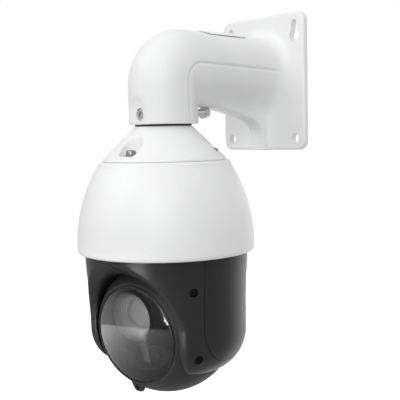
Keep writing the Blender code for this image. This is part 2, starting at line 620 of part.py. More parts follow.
def lens(black, glass, alloy, green, dark, ball, groups):
    """The zoom lens, behind the window and above the lamps."""
    at = moved(LENS_ACROSS, 0, LENS_UP, FACING)
    barrel = [(LENS_R - 0.8, 45.1), (LENS_R - 0.8, 43.6), (22.8, 43.2), (21.6, 39.6), (20.2, 39.2),
              (18.8, 35.0), (17.2, 34.6), (15.4, 30.4), (15.0, 30.2), (15.0, -6.0), (20.0, -6.0), (20.0, 33.0),
              (LENS_R, 41.0), (LENS_R, 45.1)]
    placed("lens_barrel", turned(barrel, 24, at), black, ball)
    front = [(0, 23.0), (14.7, 25.0), (14.7, 27.0)] + [
        (14.7 * cos(radians(a)), 27.0 + 3.0 * sin(radians(a))) for a in (25, 50, 72)] + [(0, 30.0)]
    placed("front_lens", turned(front, 16, at), glass, ball)
    for name, near in (("zoom_lens_group", 12.0), ("focus_lens_group", 0.0)):
        group = [(0, near + 0.8), (9.6, near + 1.6), (9.6, near), (14.6, near), (14.6, near + 4.5),
                 (9.6, near + 4.5), (9.6, near + 2.8), (0, near + 3.8)]
        placed(name, turned(group, 16, at), dark, groups[name])
    plate = [(x, z) for x, z in arc(0, 0, 58, 40, 140, 12)] + [
        (x, z) for x, z in arc(0, 0, 58, 220, 320, 12)]
    mount = placed("lens_mount_plate", prism(plate, 10.0, 12.0, FACING), alloy, ball)
    helper(mount, tube(20.3, 0, 5, 18, 32, at))
    filter_plate = prism(rounded(LENS_ACROSS - 7, LENS_UP - 6.5, LENS_ACROSS + 18, LENS_UP + 6.5, 1.5,
                                 2), -7.6, -6.6, FACING)
    placed("ir_cut_filter", filter_plate, glass, groups["ir_cut_filter"], smooth=False)
    board = placed("sensor_board", prism(rounded(LENS_ACROSS - 18, LENS_UP - 18, LENS_ACROSS + 18,
                                                 LENS_UP + 18, 2, 2), -12.6, -11.0, FACING), green, ball)
    chip = block((LENS_ACROSS - 5, 9.0, LENS_UP - 4), (LENS_ACROSS + 5, 11.2, LENS_UP + 4))
    helper(board, chip, "UNION")


def lamps(green, glass, alloy, ball):
    """The infrared lamps' board below the lens, and the heat sink behind it."""
    outline = arc(0, 0, 36.0, 205, 335, 12) + [(27, -11.0), (-27, -11.0)]
    board = placed("ir_led_board", prism(outline, 36.6, 38.2, FACING), green, ball)
    for x, z in ((-20, -18), (-7, -18), (7, -18), (20, -18), (-11, -28), (11, -28)):
        lamp = [(0, 38.0), (3.2, 38.0), (3.2, 39.4), (2.2, 41.2), (0, 42.0)]
        helper(board, turned(lamp, 10, moved(x, 0, z, FACING)), "UNION")
    sink = placed("ir_heat_sink", block((-22, -36.3, -33), (22, -33.5, -13)), alloy, ball, smooth=False)
    for k in range(5):
        x = -20 + 9.5 * k
        helper(sink, block((x, -33.7, -33), (x + 2, -22, -13)), "UNION")


# ---------------------------------------------------------------- build
def main():
    for old in list(bpy.data.objects):
        bpy.data.objects.remove(old, do_unlink=True)
    white = material("white_paint", (0.82, 0.82, 0.81), 0.42)
    steel = material("steel", (0.55, 0.54, 0.52), 0.32, 1.0)
    alloy = material("die_cast_alloy", (0.52, 0.53, 0.54), 0.45, 1.0)
    rubber = material("rubber", (0.03, 0.03, 0.03), 0.8)
    housing = empty("housing", (0, -REACH, RIM_Z))
    wall_bracket(white)
    top_cover(white)
    collar_screws(steel)
    neck_pipe(alloy, housing)
    neck_seal(rubber, housing)
    cone_cover(white, housing)
    for number, angle in enumerate(cone_pockets(), 1):
        cone_screw(number, angle, steel, housing)
    dome_shell(white, housing)
    roof_plate(alloy, housing)
    black = material("black_plastic", (0.028, 0.028, 0.03), 0.42)
    plastic = material("gear_plastic", (0.75, 0.74, 0.70), 0.5)
    brass = material("brass", (0.62, 0.45, 0.2), 0.35, 1.0)
    green = material("circuit_board", (0.02, 0.16, 0.07), 0.45)
    turret = empty("pan_axis", (0, -REACH, RIM_Z), (0, 0, REST_PAN))
    reach = (PAN_TEETH + PAN_PINION_TEETH) * TOOTH / 2 + 0.1
    pinion_body = empty("pan_pinion_axis", (0, -REACH + reach, RIM_Z), (0, 0, 0))
    fan_body = empty("fan_axis", (-39.5, -REACH, RIM_Z))
    pan_drive(brass, plastic, alloy, steel, black, housing, turret, pinion_body)
    slip_ring(black, brass, housing, turret)
    fan_and_board(green, black, housing, fan_body)
    for side, word in ((1, "right"), (-1, "left")):
        turret_half(f"turret_casing_{word}", side, black, turret)
        side_cover(f"ear_cover_{word}", side, black, turret)
        casing_screws(side, word, steel, turret)
    glass = material("window_glass", (0.02, 0.02, 0.022), 0.05)
    ball = empty("tilt_axis", (0, 0, TILT_Z), (REST_TILT, 0, 0), turret)
    drive_body = empty("tilt_drive_axis", (0, 0, DRIVE_Z), (0, 0, 0), turret)
    turret_platform(alloy, turret)
    tilt_drive(alloy, black, steel, plastic, brass, rubber, turret, ball, drive_body)
    ball_shells(black, ball)
    face(black, glass, ball)
    groups = {name: empty(f"{name}_slide", (0, 0, 0), (0, 0, 0), ball)
              for name in ("zoom_lens_group", "focus_lens_group", "ir_cut_filter")}
    lens(black, glass, alloy, green, black, ball, groups)
    lamps(green, glass, alloy, ball)


main()
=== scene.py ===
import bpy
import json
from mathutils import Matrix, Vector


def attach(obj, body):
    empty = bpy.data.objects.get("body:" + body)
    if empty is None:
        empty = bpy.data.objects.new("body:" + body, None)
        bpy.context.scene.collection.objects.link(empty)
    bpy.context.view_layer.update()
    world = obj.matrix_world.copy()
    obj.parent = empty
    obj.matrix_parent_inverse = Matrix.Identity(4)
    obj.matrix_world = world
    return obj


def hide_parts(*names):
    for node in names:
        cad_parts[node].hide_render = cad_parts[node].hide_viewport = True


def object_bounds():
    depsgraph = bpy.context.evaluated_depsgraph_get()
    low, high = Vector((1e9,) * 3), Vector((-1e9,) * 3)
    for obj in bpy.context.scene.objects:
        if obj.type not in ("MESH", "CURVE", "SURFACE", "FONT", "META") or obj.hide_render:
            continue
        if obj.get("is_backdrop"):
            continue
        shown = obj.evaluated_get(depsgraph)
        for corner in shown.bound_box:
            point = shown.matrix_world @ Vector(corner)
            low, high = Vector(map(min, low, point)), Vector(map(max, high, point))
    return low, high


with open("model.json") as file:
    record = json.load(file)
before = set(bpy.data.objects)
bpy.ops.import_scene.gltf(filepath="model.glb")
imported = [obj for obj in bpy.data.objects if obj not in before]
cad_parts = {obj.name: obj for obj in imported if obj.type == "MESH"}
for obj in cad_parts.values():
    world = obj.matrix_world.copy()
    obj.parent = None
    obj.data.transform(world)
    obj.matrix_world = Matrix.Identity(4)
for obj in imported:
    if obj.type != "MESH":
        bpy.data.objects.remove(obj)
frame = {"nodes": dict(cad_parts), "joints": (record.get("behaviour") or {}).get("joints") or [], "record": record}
"""Looks of a dome camera that pans and tilts below a cast wall bracket.

Shapes are worked out in millimetres, each in its own body's frame, and become metres when
their piece is made. The bracket's frame has the wall at y = 0. The housing's frame has its
origin on the pan axis at the white dome's bottom rim. The turret's is the same, turned to
where it rests, with its front towards -Y. The ball's is on the tilt axis, tilted as it rests.
"""
import json
from math import asin, atan2, cos, pi, radians, sin, sqrt

import bmesh
import bpy
import numpy as np
from mathutils import Matrix, Vector

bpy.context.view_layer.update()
MM = 0.001
TURN = 2 * pi

# ---- where the bodies are
JOINTS = {joint["name"]: joint for joint in frame["joints"]}
PAN_AT = Vector(JOINTS["pan"]["pos_m"])
TILT_AT = Vector(JOINTS["tilt"]["pos_m"])
ACROSS = Vector(JOINTS["tilt"]["axis"]).normalized()
FORWARD = Vector(JOINTS["zoom"]["axis"]).normalized()
REACH = -PAN_AT.y / MM      # from the wall to the pan axis


def body_frame(at, across, back):
    """Turns a body's millimetres into the model's metres."""
    up = across.cross(back)
    turn = Matrix((across, back, up)).transposed().to_4x4()
    return Matrix.Translation(at) @ turn @ Matrix.Scale(MM, 4)


LEVEL_X, LEVEL_Y = Vector((1, 0, 0)), Vector((0, 1, 0))
WALL = body_frame(Vector((0, 0, 0)), LEVEL_X, LEVEL_Y)
HOUSING = body_frame(PAN_AT, LEVEL_X, LEVEL_Y)
TURRET = body_frame(PAN_AT, ACROSS, Vector((0, 0, 1)).cross(ACROSS))
BALL = body_frame(TILT_AT, ACROSS, -FORWARD)

# ---- sizes, in millimetres
PLATE_HALF_W, PLATE_T, PLATE_CORNER, PLATE_EDGE = 57.0, 7.0, 10.0, 2.4
PLATE_LOW, PLATE_HIGH = -11.4, 125.0
HOLE_X, LOW_HOLE_R = 44.6, 5.0
KEY_Z, KEY_BIG_R, KEY_SMALL_R, KEY_RISE = 101.8, 6.2, 4.2, 11.0
ARM_Z, ARM_HALF_W, ARM_HALF_H, ARM_DROOP, ARM_WALL = 70.1, 31.3, 33.6, 1.6, 8.0
LEG_R, LEG_FLAT, LEG_LOW, ELBOW_R, LEG_BORE = 31.7, 29.4, 15.8, 20.0, 24.0
WEB_HALF, WEB_TOE, WEB_FILLET = 9.0, 14.2, 15.0
BOSS_D, BOSS_HALF_W, BOSS_HALF_D, BOSS_TOP = 118.0, 12.0, 12.8, 36.0
LID_D, LID_HALF_W, LID_HALF_L, LID_CORNER = 67.5, 14.5, 26.8, 6.0
SET_SCREW_X, SET_SCREW_Z, SET_SCREW_R, BOLT_Z = 3.0, 24.9, 5.1, 26.6
DOME_R, DOME_HALF_H, DOME_WIDEST, DOME_WALL = 82.3, 111.0, 5.4, 2.8
LEDGE_Z, CONE_TOP_Z, CONE_TOP_R, CONE_FOOT_R, CONE_WALL = 83.2, 114.6, 27.2, 57.3, 2.2
NECK_R, SCREW_CIRCLE, WELL_R, WELL_FLOOR = 22.8, 45.8, 10.4, 88.0
WELLS = [radians(41.4 - 120.0 * k) for k in range(3)]
TILT_Z = (TILT_AT.z - PAN_AT.z) / MM
CASING_TOP, CASING_LOW, HALF_GAP = 5.5, -110.4, 0.12
FOOT_Z, FOOT_R, FOOT_DROP = -74.0, 34.0, 36.5
ARCH_Z, ARCH_R, THROAT_R, EAR_D, EAR_DROP = -62.5, 57.5, 47.5, 46.5, 49.0
CAVITY_R, CAVITY_SIDE, CAVITY_LOW_SIDE = 66.6, 51.3, 47.5
COVER_HALF, COVER_TOP, COVER_FOOT_Z, COVER_DROP, COVER_T = 30.6, 5.7, -62.0, 33.3, 2.6
COVER_SIDE, EAR_ROOM_SIDE, PIVOT_R = 54.3, 54.0, 9.3
CASING_SCREWS = ((-39.1, -28.0, 74.1), (-35.0, -88.0, 70.7),     # across, height, and the
                 (39.1, -55.0, 73.5), (35.0, -88.0, 70.7))       # casing's radius there
BALL_R, BALL_SIDE, BALL_WALL, FACE_D, SHELL_SEAM = 65.0, 50.0, 3.0, 45.9, 14.0
SEAT_R, SHAFT_R = 44.1, 5.3
LENS_UP, LENS_ACROSS = 14.6, -6.2


# ---- shape arithmetic
def joined(a, b, r=0.0):
    """Two solids as one, with a hollow fillet of radius r: the nearer wall, less how deep the
    point lies in the corner square of side r, measured as a quarter circle."""
    if np.all(np.asarray(r) == 0):
        return np.minimum(a, b)
    return np.maximum(r, np.minimum(a, b)) - np.hypot(np.maximum(r - a, 0), np.maximum(r - b, 0))


def common(a, b, r=0.0):
    """What two solids share, with its edge rounded to radius r."""
    return -joined(-a, -b, r)


def less(a, b, r=0.0):
    """A solid with another taken away, the edge rounded to radius r."""
    return common(a, -b, r)


def slab(value, low, high):
    """Signed distance to the layer between two planes."""
    return np.maximum(low - value, value - high)


def eased(value, start, stop):
    """Runs from 0 to 1 between start and stop, level at both ends."""
    share = np.clip((value - start) / (stop - start), 0, 1)
    return share * share * (3 - 2 * share)


def oval(x, y, half_x, half_y):
    """Distance from an ellipse: its norm less one, scaled by the ellipse's radius on that side."""
    norm = np.hypot(x / half_x, y / half_y)
    return (norm - 1) * np.hypot(x, y) / np.maximum(norm, 1e-6)


def rounded_box(x, y, half_x, half_y, r):
    """Signed distance from a rectangle with round corners."""
    over_x, over_y = np.abs(x) - half_x + r, np.abs(y) - half_y + r
    return (np.hypot(np.maximum(over_x, 0), np.maximum(over_y, 0))
            + np.minimum(np.maximum(over_x, over_y), 0) - r)


# ---- meshes
def slope_of(shape, points, reach=0.02):
    """The direction in which a shape's value grows, from the difference across each point."""
    steps = np.eye(3) * reach
    return np.stack([(shape(*(points + s).T) - shape(*(points - s).T)) / (2 * reach)
                     for s in steps], 1)


def netted(shape, xs, ys, zs, settle=5):
    """The closed surface where a shape's value is nought. Each cell of the lattice that the
    surface passes through gets one point, the mean of where the surface cuts the cell's edges,
    and each cut edge gets a face between its four cells. The points then slide down the
    shape's slope onto the surface."""
    lattice = np.meshgrid(xs, ys, zs, indexing="ij")
    level = shape(*lattice)
    inside = level < 0
    cells = tuple(n - 1 for n in level.shape)
    total, count = np.zeros((np.prod(cells), 3)), np.zeros(np.prod(cells))
    quads = []
    for axis in range(3):
        near, far = [slice(None)] * 3, [slice(None)] * 3
        near[axis], far[axis] = slice(0, -1), slice(1, None)
        near, far = tuple(near), tuple(far)
        cut = inside[near] != inside[far]
        start, stop = level[near][cut], level[far][cut]
        share = (start / (start - stop))[:, None]
        low = np.stack([g[near][cut] for g in lattice], 1)
        high = np.stack([g[far][cut] for g in lattice], 1)
        point = low + (high - low) * share
        at = np.argwhere(cut)
        side_a, side_b = [k for k in range(3) if k != axis]
        corners = []
        for back_a, back_b in ((0, 0), (1, 0), (1, 1), (0, 1)):
            cell = at.copy()
            cell[:, side_a] -= back_a
            cell[:, side_b] -= back_b
            number = np.ravel_multi_index(cell.T, cells)
            for k in range(3):
                total[:, k] += np.bincount(number, point[:, k], total.shape[0])
            count += np.bincount(number, minlength=count.size)
            corners.append(number)
        quad = np.stack(corners, 1)
        backward = inside[near][cut] == (axis == 1)
        quad[backward] = quad[backward][:, ::-1]
        quads.append(quad)
    used = count > 0
    points = total[used] / count[used][:, None]
    faces = (np.cumsum(used) - 1)[np.concatenate(quads)]
    limit = 0.5 * min(np.diff(xs).min(), np.diff(ys).min(), np.diff(zs).min())
    for _ in range(settle):
        slope = slope_of(shape, points)
        step = slope * (shape(*points.T) / np.maximum((slope ** 2).sum(1), 0.05))[:, None]
        length = np.linalg.norm(step, axis=1, keepdims=True)
        points -= step * np.minimum(1, limit / np.maximum(length, 1e-9))
    return points, faces


def axis_steps(low, high, step, fine=()):
    """Lattice values from low to high a step apart, and closer between each (start, stop, step)
    in fine."""
    values = np.arange(low, high + step, step)
    for start, stop, close in fine:
        values = np.concatenate([values[(values < start - close) | (values > stop + close)],
                                 np.arange(start, stop + close / 2, close)])
    return np.sort(values)


def grid_faces(rows, columns, wrap_rows=False, wrap_columns=False):
    """Four-sided faces between neighbours of a grid whose points are numbered row by row."""
    row = np.arange(rows if wrap_rows else rows - 1)
    column = np.arange(columns if wrap_columns else columns - 1)
    row, column = (a.ravel() for a in np.meshgrid(row, column, indexing="ij"))
    up, over = (row + 1) % rows, (column + 1) % columns
    return np.stack([row * columns + column, row * columns + over, up * columns + over,
                     up * columns + column], 1)


def linked(name, data):
    """A new object in the scene that holds the data."""
    made = bpy.data.objects.new(name, data)
    bpy.context.scene.collection.objects.link(made)
    return made


def mesh_object(name, points, faces):
    """An object from arrays of points and faces."""
    mesh = bpy.data.meshes.new(name)
    mesh.from_pydata(np.asarray(points, float), [], np.asarray(faces))
    return linked(name, mesh)


def merged(made, distance=1e-4):
    """Joins points that meet, which closes seams and poles, drops what that flattens, and turns
    all faces outwards."""
    bm = bmesh.new()
    bm.from_mesh(made.data)
    bmesh.ops.remove_doubles(bm, verts=bm.verts, dist=distance)
    bmesh.ops.dissolve_degenerate(bm, edges=bm.edges, dist=distance)
    bmesh.ops.recalc_face_normals(bm, faces=bm.faces)
    bm.to_mesh(made.data)
    bm.free()
    return made


def rounded_path(corners, steps=5):
    """A closed outline through (x, y, radius) corners, each corner an arc tangent to both its
    sides."""
    corners = np.array(corners, float)
    at, radius = corners[:, :2], corners[:, 2]
    before, after = np.roll(at, 1, 0) - at, np.roll(at, -1, 0) - at
    before /= np.linalg.norm(before, axis=1, keepdims=True)
    after /= np.linalg.norm(after, axis=1, keepdims=True)
    half = np.arccos(np.clip((before * after).sum(1), -1, 1)) / 2
    reach = radius / np.tan(half)
    middle = before + after
    length = np.linalg.norm(middle, axis=1, keepdims=True)
    middle = np.where(length > 1e-6, middle / np.maximum(length, 1e-6), 0)
    centre = at + middle * (radius / np.sin(half))[:, None]
    start, stop = at + before * reach[:, None] - centre, at + after * reach[:, None] - centre
    share = np.linspace(0, 1, steps)[None, :, None]
    chord = start[:, None] * (1 - share) + stop[:, None] * share
    size = np.linalg.norm(chord, axis=2, keepdims=True)
    arc = np.where(size > 1e-9, chord / np.maximum(size, 1e-9), 0) * radius[:, None, None]
    return (centre[:, None] + arc).reshape(-1, 2)


def lathe(name, outline, steps=128):
    """A (radius, height) outline spun about Z: each point becomes radius times cosine and sine
    of the turn, at its height. An outline that starts and ends on the axis closes there."""
    outline = np.asarray(outline, float)
    angle = np.arange(steps) * TURN / steps
    radius, height = outline[:, :1], outline[:, 1:]
    points = np.stack([radius * np.cos(angle), radius * np.sin(angle),
                       height + 0 * angle], 2).reshape(-1, 3)
    closed = outline[0, 0] > 1e-6 or outline[-1, 0] > 1e-6
    return merged(mesh_object(name, points, grid_faces(len(outline), steps, closed, True)))


def raised(name, outline, low, high, bevel=0.0):
    """An (x, y) outline carried from low to high, its rims drawn in by the bevel, both ends
    closed by fans from the middle."""
    outline = np.asarray(outline, float)
    middle = outline.mean(0)
    inward = middle - outline
    inward /= np.linalg.norm(inward, axis=1, keepdims=True)
    rows = [(low, bevel), (low + bevel, 0), (high - bevel, 0), (high, bevel)] if bevel else [
        (low, 0), (high, 0)]
    rings = [np.column_stack([outline + inward * draw, np.full(len(outline), z)])
             for z, draw in rows]
    ends = [np.tile([*middle, z], (len(outline), 1)) for z in (low, high)]
    points = np.concatenate([ends[0], *rings, ends[1]])
    return merged(mesh_object(name, points, grid_faces(len(rows) + 2, len(outline), False, True)))


def turned_to(made, matrix):
    """Moves a mesh's points."""
    made.data.transform(matrix)
    if matrix.to_3x3().determinant() < 0:
        made.data.flip_normals()
    return made


def carve(made, tool, operation="DIFFERENCE", solver="MANIFOLD"):
    """Cuts, joins or limits a mesh with a tool, which is then thrown away."""
    step = made.modifiers.new("carve", "BOOLEAN")
    step.operation, step.solver, step.object = operation, solver, tool
    graph = bpy.context.evaluated_depsgraph_get()
    result = bpy.data.meshes.new_from_object(made.evaluated_get(graph))
    made.modifiers.clear()
    made.data = result
    bpy.data.objects.remove(tool)
    return made


ALONG_X = Matrix.Rotation(pi / 2, 4, "Y")
ALONG_Y = Matrix.Rotation(-pi / 2, 4, "X")
FACING = Matrix.Rotation(pi / 2, 4, "X")       # turns +Z to -Y, and +Y to +Z
SIDEWAYS = Matrix(((0, 0, 1, 0), (1, 0, 0, 0), (0, 1, 0, 0), (0, 0, 0, 1)))   # (x, y) to (y, z)


def rod(radius, low, high, matrix, steps=48):
    """A round bar along Z, turned and moved by the matrix."""
    outline = [(0, low), (radius, low), (radius, high), (0, high)]
    return turned_to(lathe("rod", outline, steps), matrix)


def finish_piece(made, matrix, body, slot, coat, *nodes, sharp=35):
    """Places a finished piece, shades it smooth, gives it its material, fixes it to the body it moves with, and
    hides the CAD nodes that it stands in for.
    """
    made.data.transform(matrix)
    mesh = made.data
    mesh.shade_smooth()
    mesh.set_sharp_from_angle(angle=radians(sharp))
    mesh.materials.clear()
    mesh.materials.append(coat)
    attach(made, body)
    if nodes:
        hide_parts(*nodes)
    return made


# ---- finishes
class Wire:
    """One output of a material's nodes. Sums, differences and products of wires and numbers
    add the nodes that work them out."""

    def __init__(self, coat, socket):
        self.coat, self.socket = coat, socket

    def worked(self, operation, *values):
        return self.coat.node("Math", {"operation": operation}, dict(enumerate(values)))

    def __add__(self, other):
        return self.worked("ADD", self, other)

    def __sub__(self, other):
        return self.worked("SUBTRACT", self, other)

    def __rsub__(self, other):
        return self.worked("SUBTRACT", other, self)

    def __mul__(self, other):
        return self.worked("MULTIPLY", self, other)

    def __truediv__(self, other):
        return self.worked("DIVIDE", self, other)

    __radd__, __rmul__ = __add__, __mul__

    def parts(self):
        """A wire for each output of the node."""
        return [Wire(self.coat, out) for out in self.socket.node.outputs]

    def between(self, low, high):
        """0 below low, 1 above high, eased between."""
        return self.coat.node("MapRange", {"interpolation_type": "SMOOTHSTEP"},
                              {0: self, 1: low, 2: high, 3: 0.0, 4: 1.0})


class Coat:
    """A material being wired up."""

    def __init__(self, name):
        self.made = bpy.data.materials.new(name)
        self.made.use_nodes = True
        self.tree = self.made.node_tree
        self.tree.nodes.clear()
        self.place = self.node("TexCoord", out="Object")

    def node(self, kind, settings=None, inputs=None, out=0):
        """Adds a node: its type, its settings, and the values or wires of its sockets."""
        made = self.tree.nodes.new("ShaderNode" + kind)
        for key, value in (settings or {}).items():
            setattr(made, key, value)
        for key, value in (inputs or {}).items():
            if isinstance(value, Wire):
                self.tree.links.new(value.socket, made.inputs[key])
            else:
                made.inputs[key].default_value = value
        return Wire(self, made.outputs[out])

    def noise(self, scale, detail=2.0, place=None, rough=0.5):
        """Cloudy values about a half."""
        return self.node("TexNoise", None, {"Vector": place or self.place, "Scale": scale,
                                            "Detail": detail, "Roughness": rough})

    def cells(self, scale):
        """How far each place is from the nearest of many scattered points."""
        return self.node("TexVoronoi", None, {"Vector": self.place, "Scale": scale})

    def stretched(self, x, y, z):
        """The place, drawn out or squeezed along each axis."""
        return self.node("Mapping", None, {0: self.place, "Scale": (x, y, z)})

    def tint(self, share, low, high):
        """A colour between two, by share."""
        return self.node("Mix", {"data_type": "RGBA"},
                         {0: share, 6: (*low, 1) if isinstance(low, tuple) else low,
                          7: (*high, 1) if isinstance(high, tuple) else high}, out=2)

    def bump(self, height, distance, strength=1.0):
        """A normal that leans as the height changes."""
        return self.node("Bump", None, {"Height": height, "Distance": distance,
                                        "Strength": strength})

    def axes(self):
        """The place's three coordinates."""
        return self.node("SeparateXYZ", None, {0: self.place}).parts()

    def lit(self, glow, strength):
        """Closes the material as a black surface that glows by the share given."""
        return self.done(base_color=(0, 0, 0, 1), roughness=1.0, specular=0.0,
                         emission_color=self.tint(glow, (0, 0, 0), (1, 1, 1)),
                         emission_strength=strength)

    def done(self, **inputs):
        """Closes the material with its shader, whose sockets are named by the keywords."""
        sockets = {"ior": "IOR", "coat_ior": "Coat IOR", "specular": "Specular IOR Level"}
        shader = self.node("BsdfPrincipled", None, {
            sockets.get(key, key.replace("_", " ").title()): value
            for key, value in inputs.items()})
        end = self.tree.nodes.new("ShaderNodeOutputMaterial")
        self.tree.links.new(shader.socket, end.inputs["Surface"])
        return self.made


def white_paint():
    """Baked enamel: a faint orange peel, cloudy handling marks, and a little dirt in specks."""
    coat = Coat("white_enamel")
    cloud = coat.noise(14.0, 5.0).between(0.42, 0.75)
    speck = coat.cells(160.0).between(0.05, 0.11)
    clean = coat.tint(cloud, (0.835, 0.838, 0.842), (0.800, 0.804, 0.808))
    colour = coat.tint(speck, (0.74, 0.74, 0.735), clean)
    peel = coat.noise(700.0, 3.0)
    return coat.done(base_color=colour, roughness=0.40 + 0.10 * cloud + 0.04 * peel,
                     normal=coat.bump(peel, 0.00012, 0.5), specular=0.5)


def black_plastic(name, tone, grain, depth, rough, gloss=0.3):
    """Moulded black plastic: fine spark-eroded grain, a few paler scuffs, uneven gloss. The
    body's tone, the grain's fineness and depth, and the roughness are given."""
    def grey(times, blue):
        return (tone * times, tone * times, tone * blue)

    coat = Coat(name)
    fine = coat.noise(grain, 4.0, rough=0.6)
    cloud = coat.noise(22.0, 4.0)
    scuff = coat.noise(60.0, 6.0, coat.stretched(1, 1, 7)).between(0.62, 0.78)
    body = coat.tint(cloud, grey(0.85, 0.87), grey(1.2, 1.22))
    colour = coat.tint(scuff * 0.25, body, grey(2.6, 2.6))
    return coat.done(base_color=colour, roughness=rough + 0.10 * cloud + 0.06 * fine,
                     normal=coat.bump(fine, depth), specular=gloss)


def metal(name, colour, rough, grain=300.0, stretch=(1, 1, 12), depth=0.00003):
    """Turned or drawn metal: fine lines along one axis, and duller patches."""
    coat = Coat(name)
    lines = coat.noise(grain, 4.0, coat.stretched(*stretch))
    dull = coat.noise(90.0, 3.0).between(0.45, 0.8)
    dark = tuple(c * 0.72 for c in colour)
    return coat.done(base_color=coat.tint(dull * 0.6 + lines * 0.2, colour, dark), metallic=1.0,
                     roughness=rough + 0.12 * dull + 0.10 * lines,
                     normal=coat.bump(lines, depth))


def rubber():
    """Soft black rubber, dusty in its pores."""
    coat = Coat("seal_rubber")
    pores = coat.noise(900.0, 4.0)
    dust = coat.noise(60.0, 4.0).between(0.5, 0.8)
    return coat.done(base_color=coat.tint(dust, (0.016, 0.016, 0.016), (0.045, 0.044, 0.042)),
                     roughness=0.72 + 0.15 * pores, normal=coat.bump(pores, 0.00008))


def circuit_board():
    """Black solder mask over copper tracks that run in square steps, with tinned pads."""
    coat = Coat("board_mask")
    tracks = coat.node("TexBrick", {"offset": 0.5},
                       {"Vector": coat.place, "Scale": 160.0, "Mortar Size": 0.03,
                        "Color1": (0, 0, 0, 1), "Color2": (0, 0, 0, 1), "Mortar": (1, 1, 1, 1)})
    pads = 1.0 - coat.cells(220.0).between(0.10, 0.13)
    mask = coat.tint(coat.noise(40.0, 2.0), (0.006, 0.007, 0.0065), (0.010, 0.012, 0.011))
    traced = coat.tint(tracks * 0.6, mask, (0.016, 0.020, 0.018))
    return coat.done(base_color=coat.tint(pads, traced, (0.16, 0.155, 0.14)), metallic=pads * 0.9,
                     roughness=0.38 + 0.1 * tracks, normal=coat.bump(tracks + pads, 0.00008))


def gear_plastic():
    """Milky nylon with flow marks."""
    coat = Coat("nylon")
    flow = coat.noise(70.0, 4.0, coat.stretched(1, 1, 4))
    return coat.done(base_color=coat.tint(flow, (0.70, 0.69, 0.63), (0.80, 0.79, 0.74)),
                     roughness=0.42 + 0.15 * flow, normal=coat.bump(flow, 0.00005))


def window_glass():
    """Smoked glass: dark, see-through, with a hard reflection and faint dust."""
    coat = Coat("smoked_glass")
    dust = coat.noise(500.0, 6.0).between(0.62, 0.85)
    film = coat.noise(35.0, 3.0)
    return coat.done(base_color=coat.tint(dust, (0.002, 0.002, 0.003), (0.006, 0.006, 0.006)),
                     roughness=0.012 + 0.008 * film, alpha=0.44 + 0.015 * dust, ior=1.6,
                     coat_weight=1.0, coat_ior=1.7, coat_roughness=0.01, specular=0.5)


def lens_glass():
    """Coated optical glass: pale grey as a painted reflection, its tone turning darker with the angle towards
    grazing.
    """
    coat = Coat("coated_glass_painted_reflection")
    angle = coat.node("LayerWeight", None, {"Blend": 0.35}, out="Facing")
    film = coat.noise(60.0, 2.0)
    # painted reflection: the pale grey stands in for the light the lens mirrors, paler where it faces the view and
    # darker at grazing angles
    tone = coat.tint(angle, (0.86, 0.86, 0.87), (0.55, 0.55, 0.56))
    return coat.done(base_color=coat.tint(film * 0.2, tone, (0.72, 0.71, 0.74)),
                     roughness=0.04 + 0.03 * film, ior=1.8, coat_weight=1.0, coat_ior=1.7)


def barrel_painted_light():
    """The lens barrel's stepped rings: satin, with a painted reflection that makes them paler towards the glass
    and painted shade that makes each step dark. Reads how far each point is from the lens's axis, in millimetres."""
    coat = Coat("barrel_painted_light")
    fine = coat.noise(1200.0, 3.0)
    reach = coat.node("Attribute", {"attribute_name": "reach"}, out="Fac")
    # painted reflection: the barrel is paler nearer the lens's axis, standing in for the light that glossy rings
    # mirror
    painted_reflection = 1.0 - (reach / 30.0).between(0.5, 0.76)
    # painted shade: a sine across the radius darkens a band in each step of the rings
    step = coat.node("Math", {"operation": "SINE"}, {0: reach * 6.2})
    share = 0.10 + 0.75 * painted_reflection + 0.13 * step
    return coat.done(base_color=coat.tint(share, (0.06, 0.06, 0.062), (0.95, 0.95, 0.955)),
                     roughness=0.34 + 0.12 * fine, normal=coat.bump(fine, 0.00003))


ENAMEL = white_paint()
CASING = black_plastic("casing_plastic", 0.009, 1500.0, 0.00006, 0.30, 0.45)
GRAINED = black_plastic("grained_plastic", 0.014, 1100.0, 0.00022, 0.42)
INNER = black_plastic("inner_moulding", 0.008, 900.0, 0.00005, 0.5)
BEZEL_BLACK = black_plastic("bezel_plastic", 0.010, 1800.0, 0.00003, 0.26)
STEEL = metal("bright_steel", (0.74, 0.73, 0.71), 0.26)
DULL_STEEL = metal("dull_steel", (0.34, 0.33, 0.32), 0.34)
DARK_STEEL = metal("blackened_steel", (0.022, 0.022, 0.024), 0.46)
ALLOY = metal("cast_alloy", (0.56, 0.57, 0.58), 0.40, 500.0, (1, 1, 1), 0.00010)
ANODISED = metal("black_anodised", (0.012, 0.012, 0.013), 0.55, 500.0, (1, 1, 1), 0.00006)
BRASS = metal("brass", (0.68, 0.49, 0.22), 0.28)
RUBBER = rubber()
BOARD = circuit_board()
NYLON = gear_plastic()
WINDOW = window_glass()
OPTIC_PAINTED_REFLECTION = lens_glass()
BARREL_PAINTED_LIGHT = barrel_painted_light()

COATS = {"white_paint": ENAMEL, "steel": STEEL, "dark_steel": DARK_STEEL, "alloy": ALLOY,
         "rubber": RUBBER, "inner_plastic": INNER, "circuit_board": BOARD, "brass": BRASS,
         "gear_plastic": NYLON, "black_casing": CASING, "ball_finish": GRAINED,
         "window_glass": WINDOW, "lens_glass": OPTIC_PAINTED_REFLECTION}
SLOT_OF = {part["node"]: part["material_slot"]
           for part in frame["record"]["subparts"]}


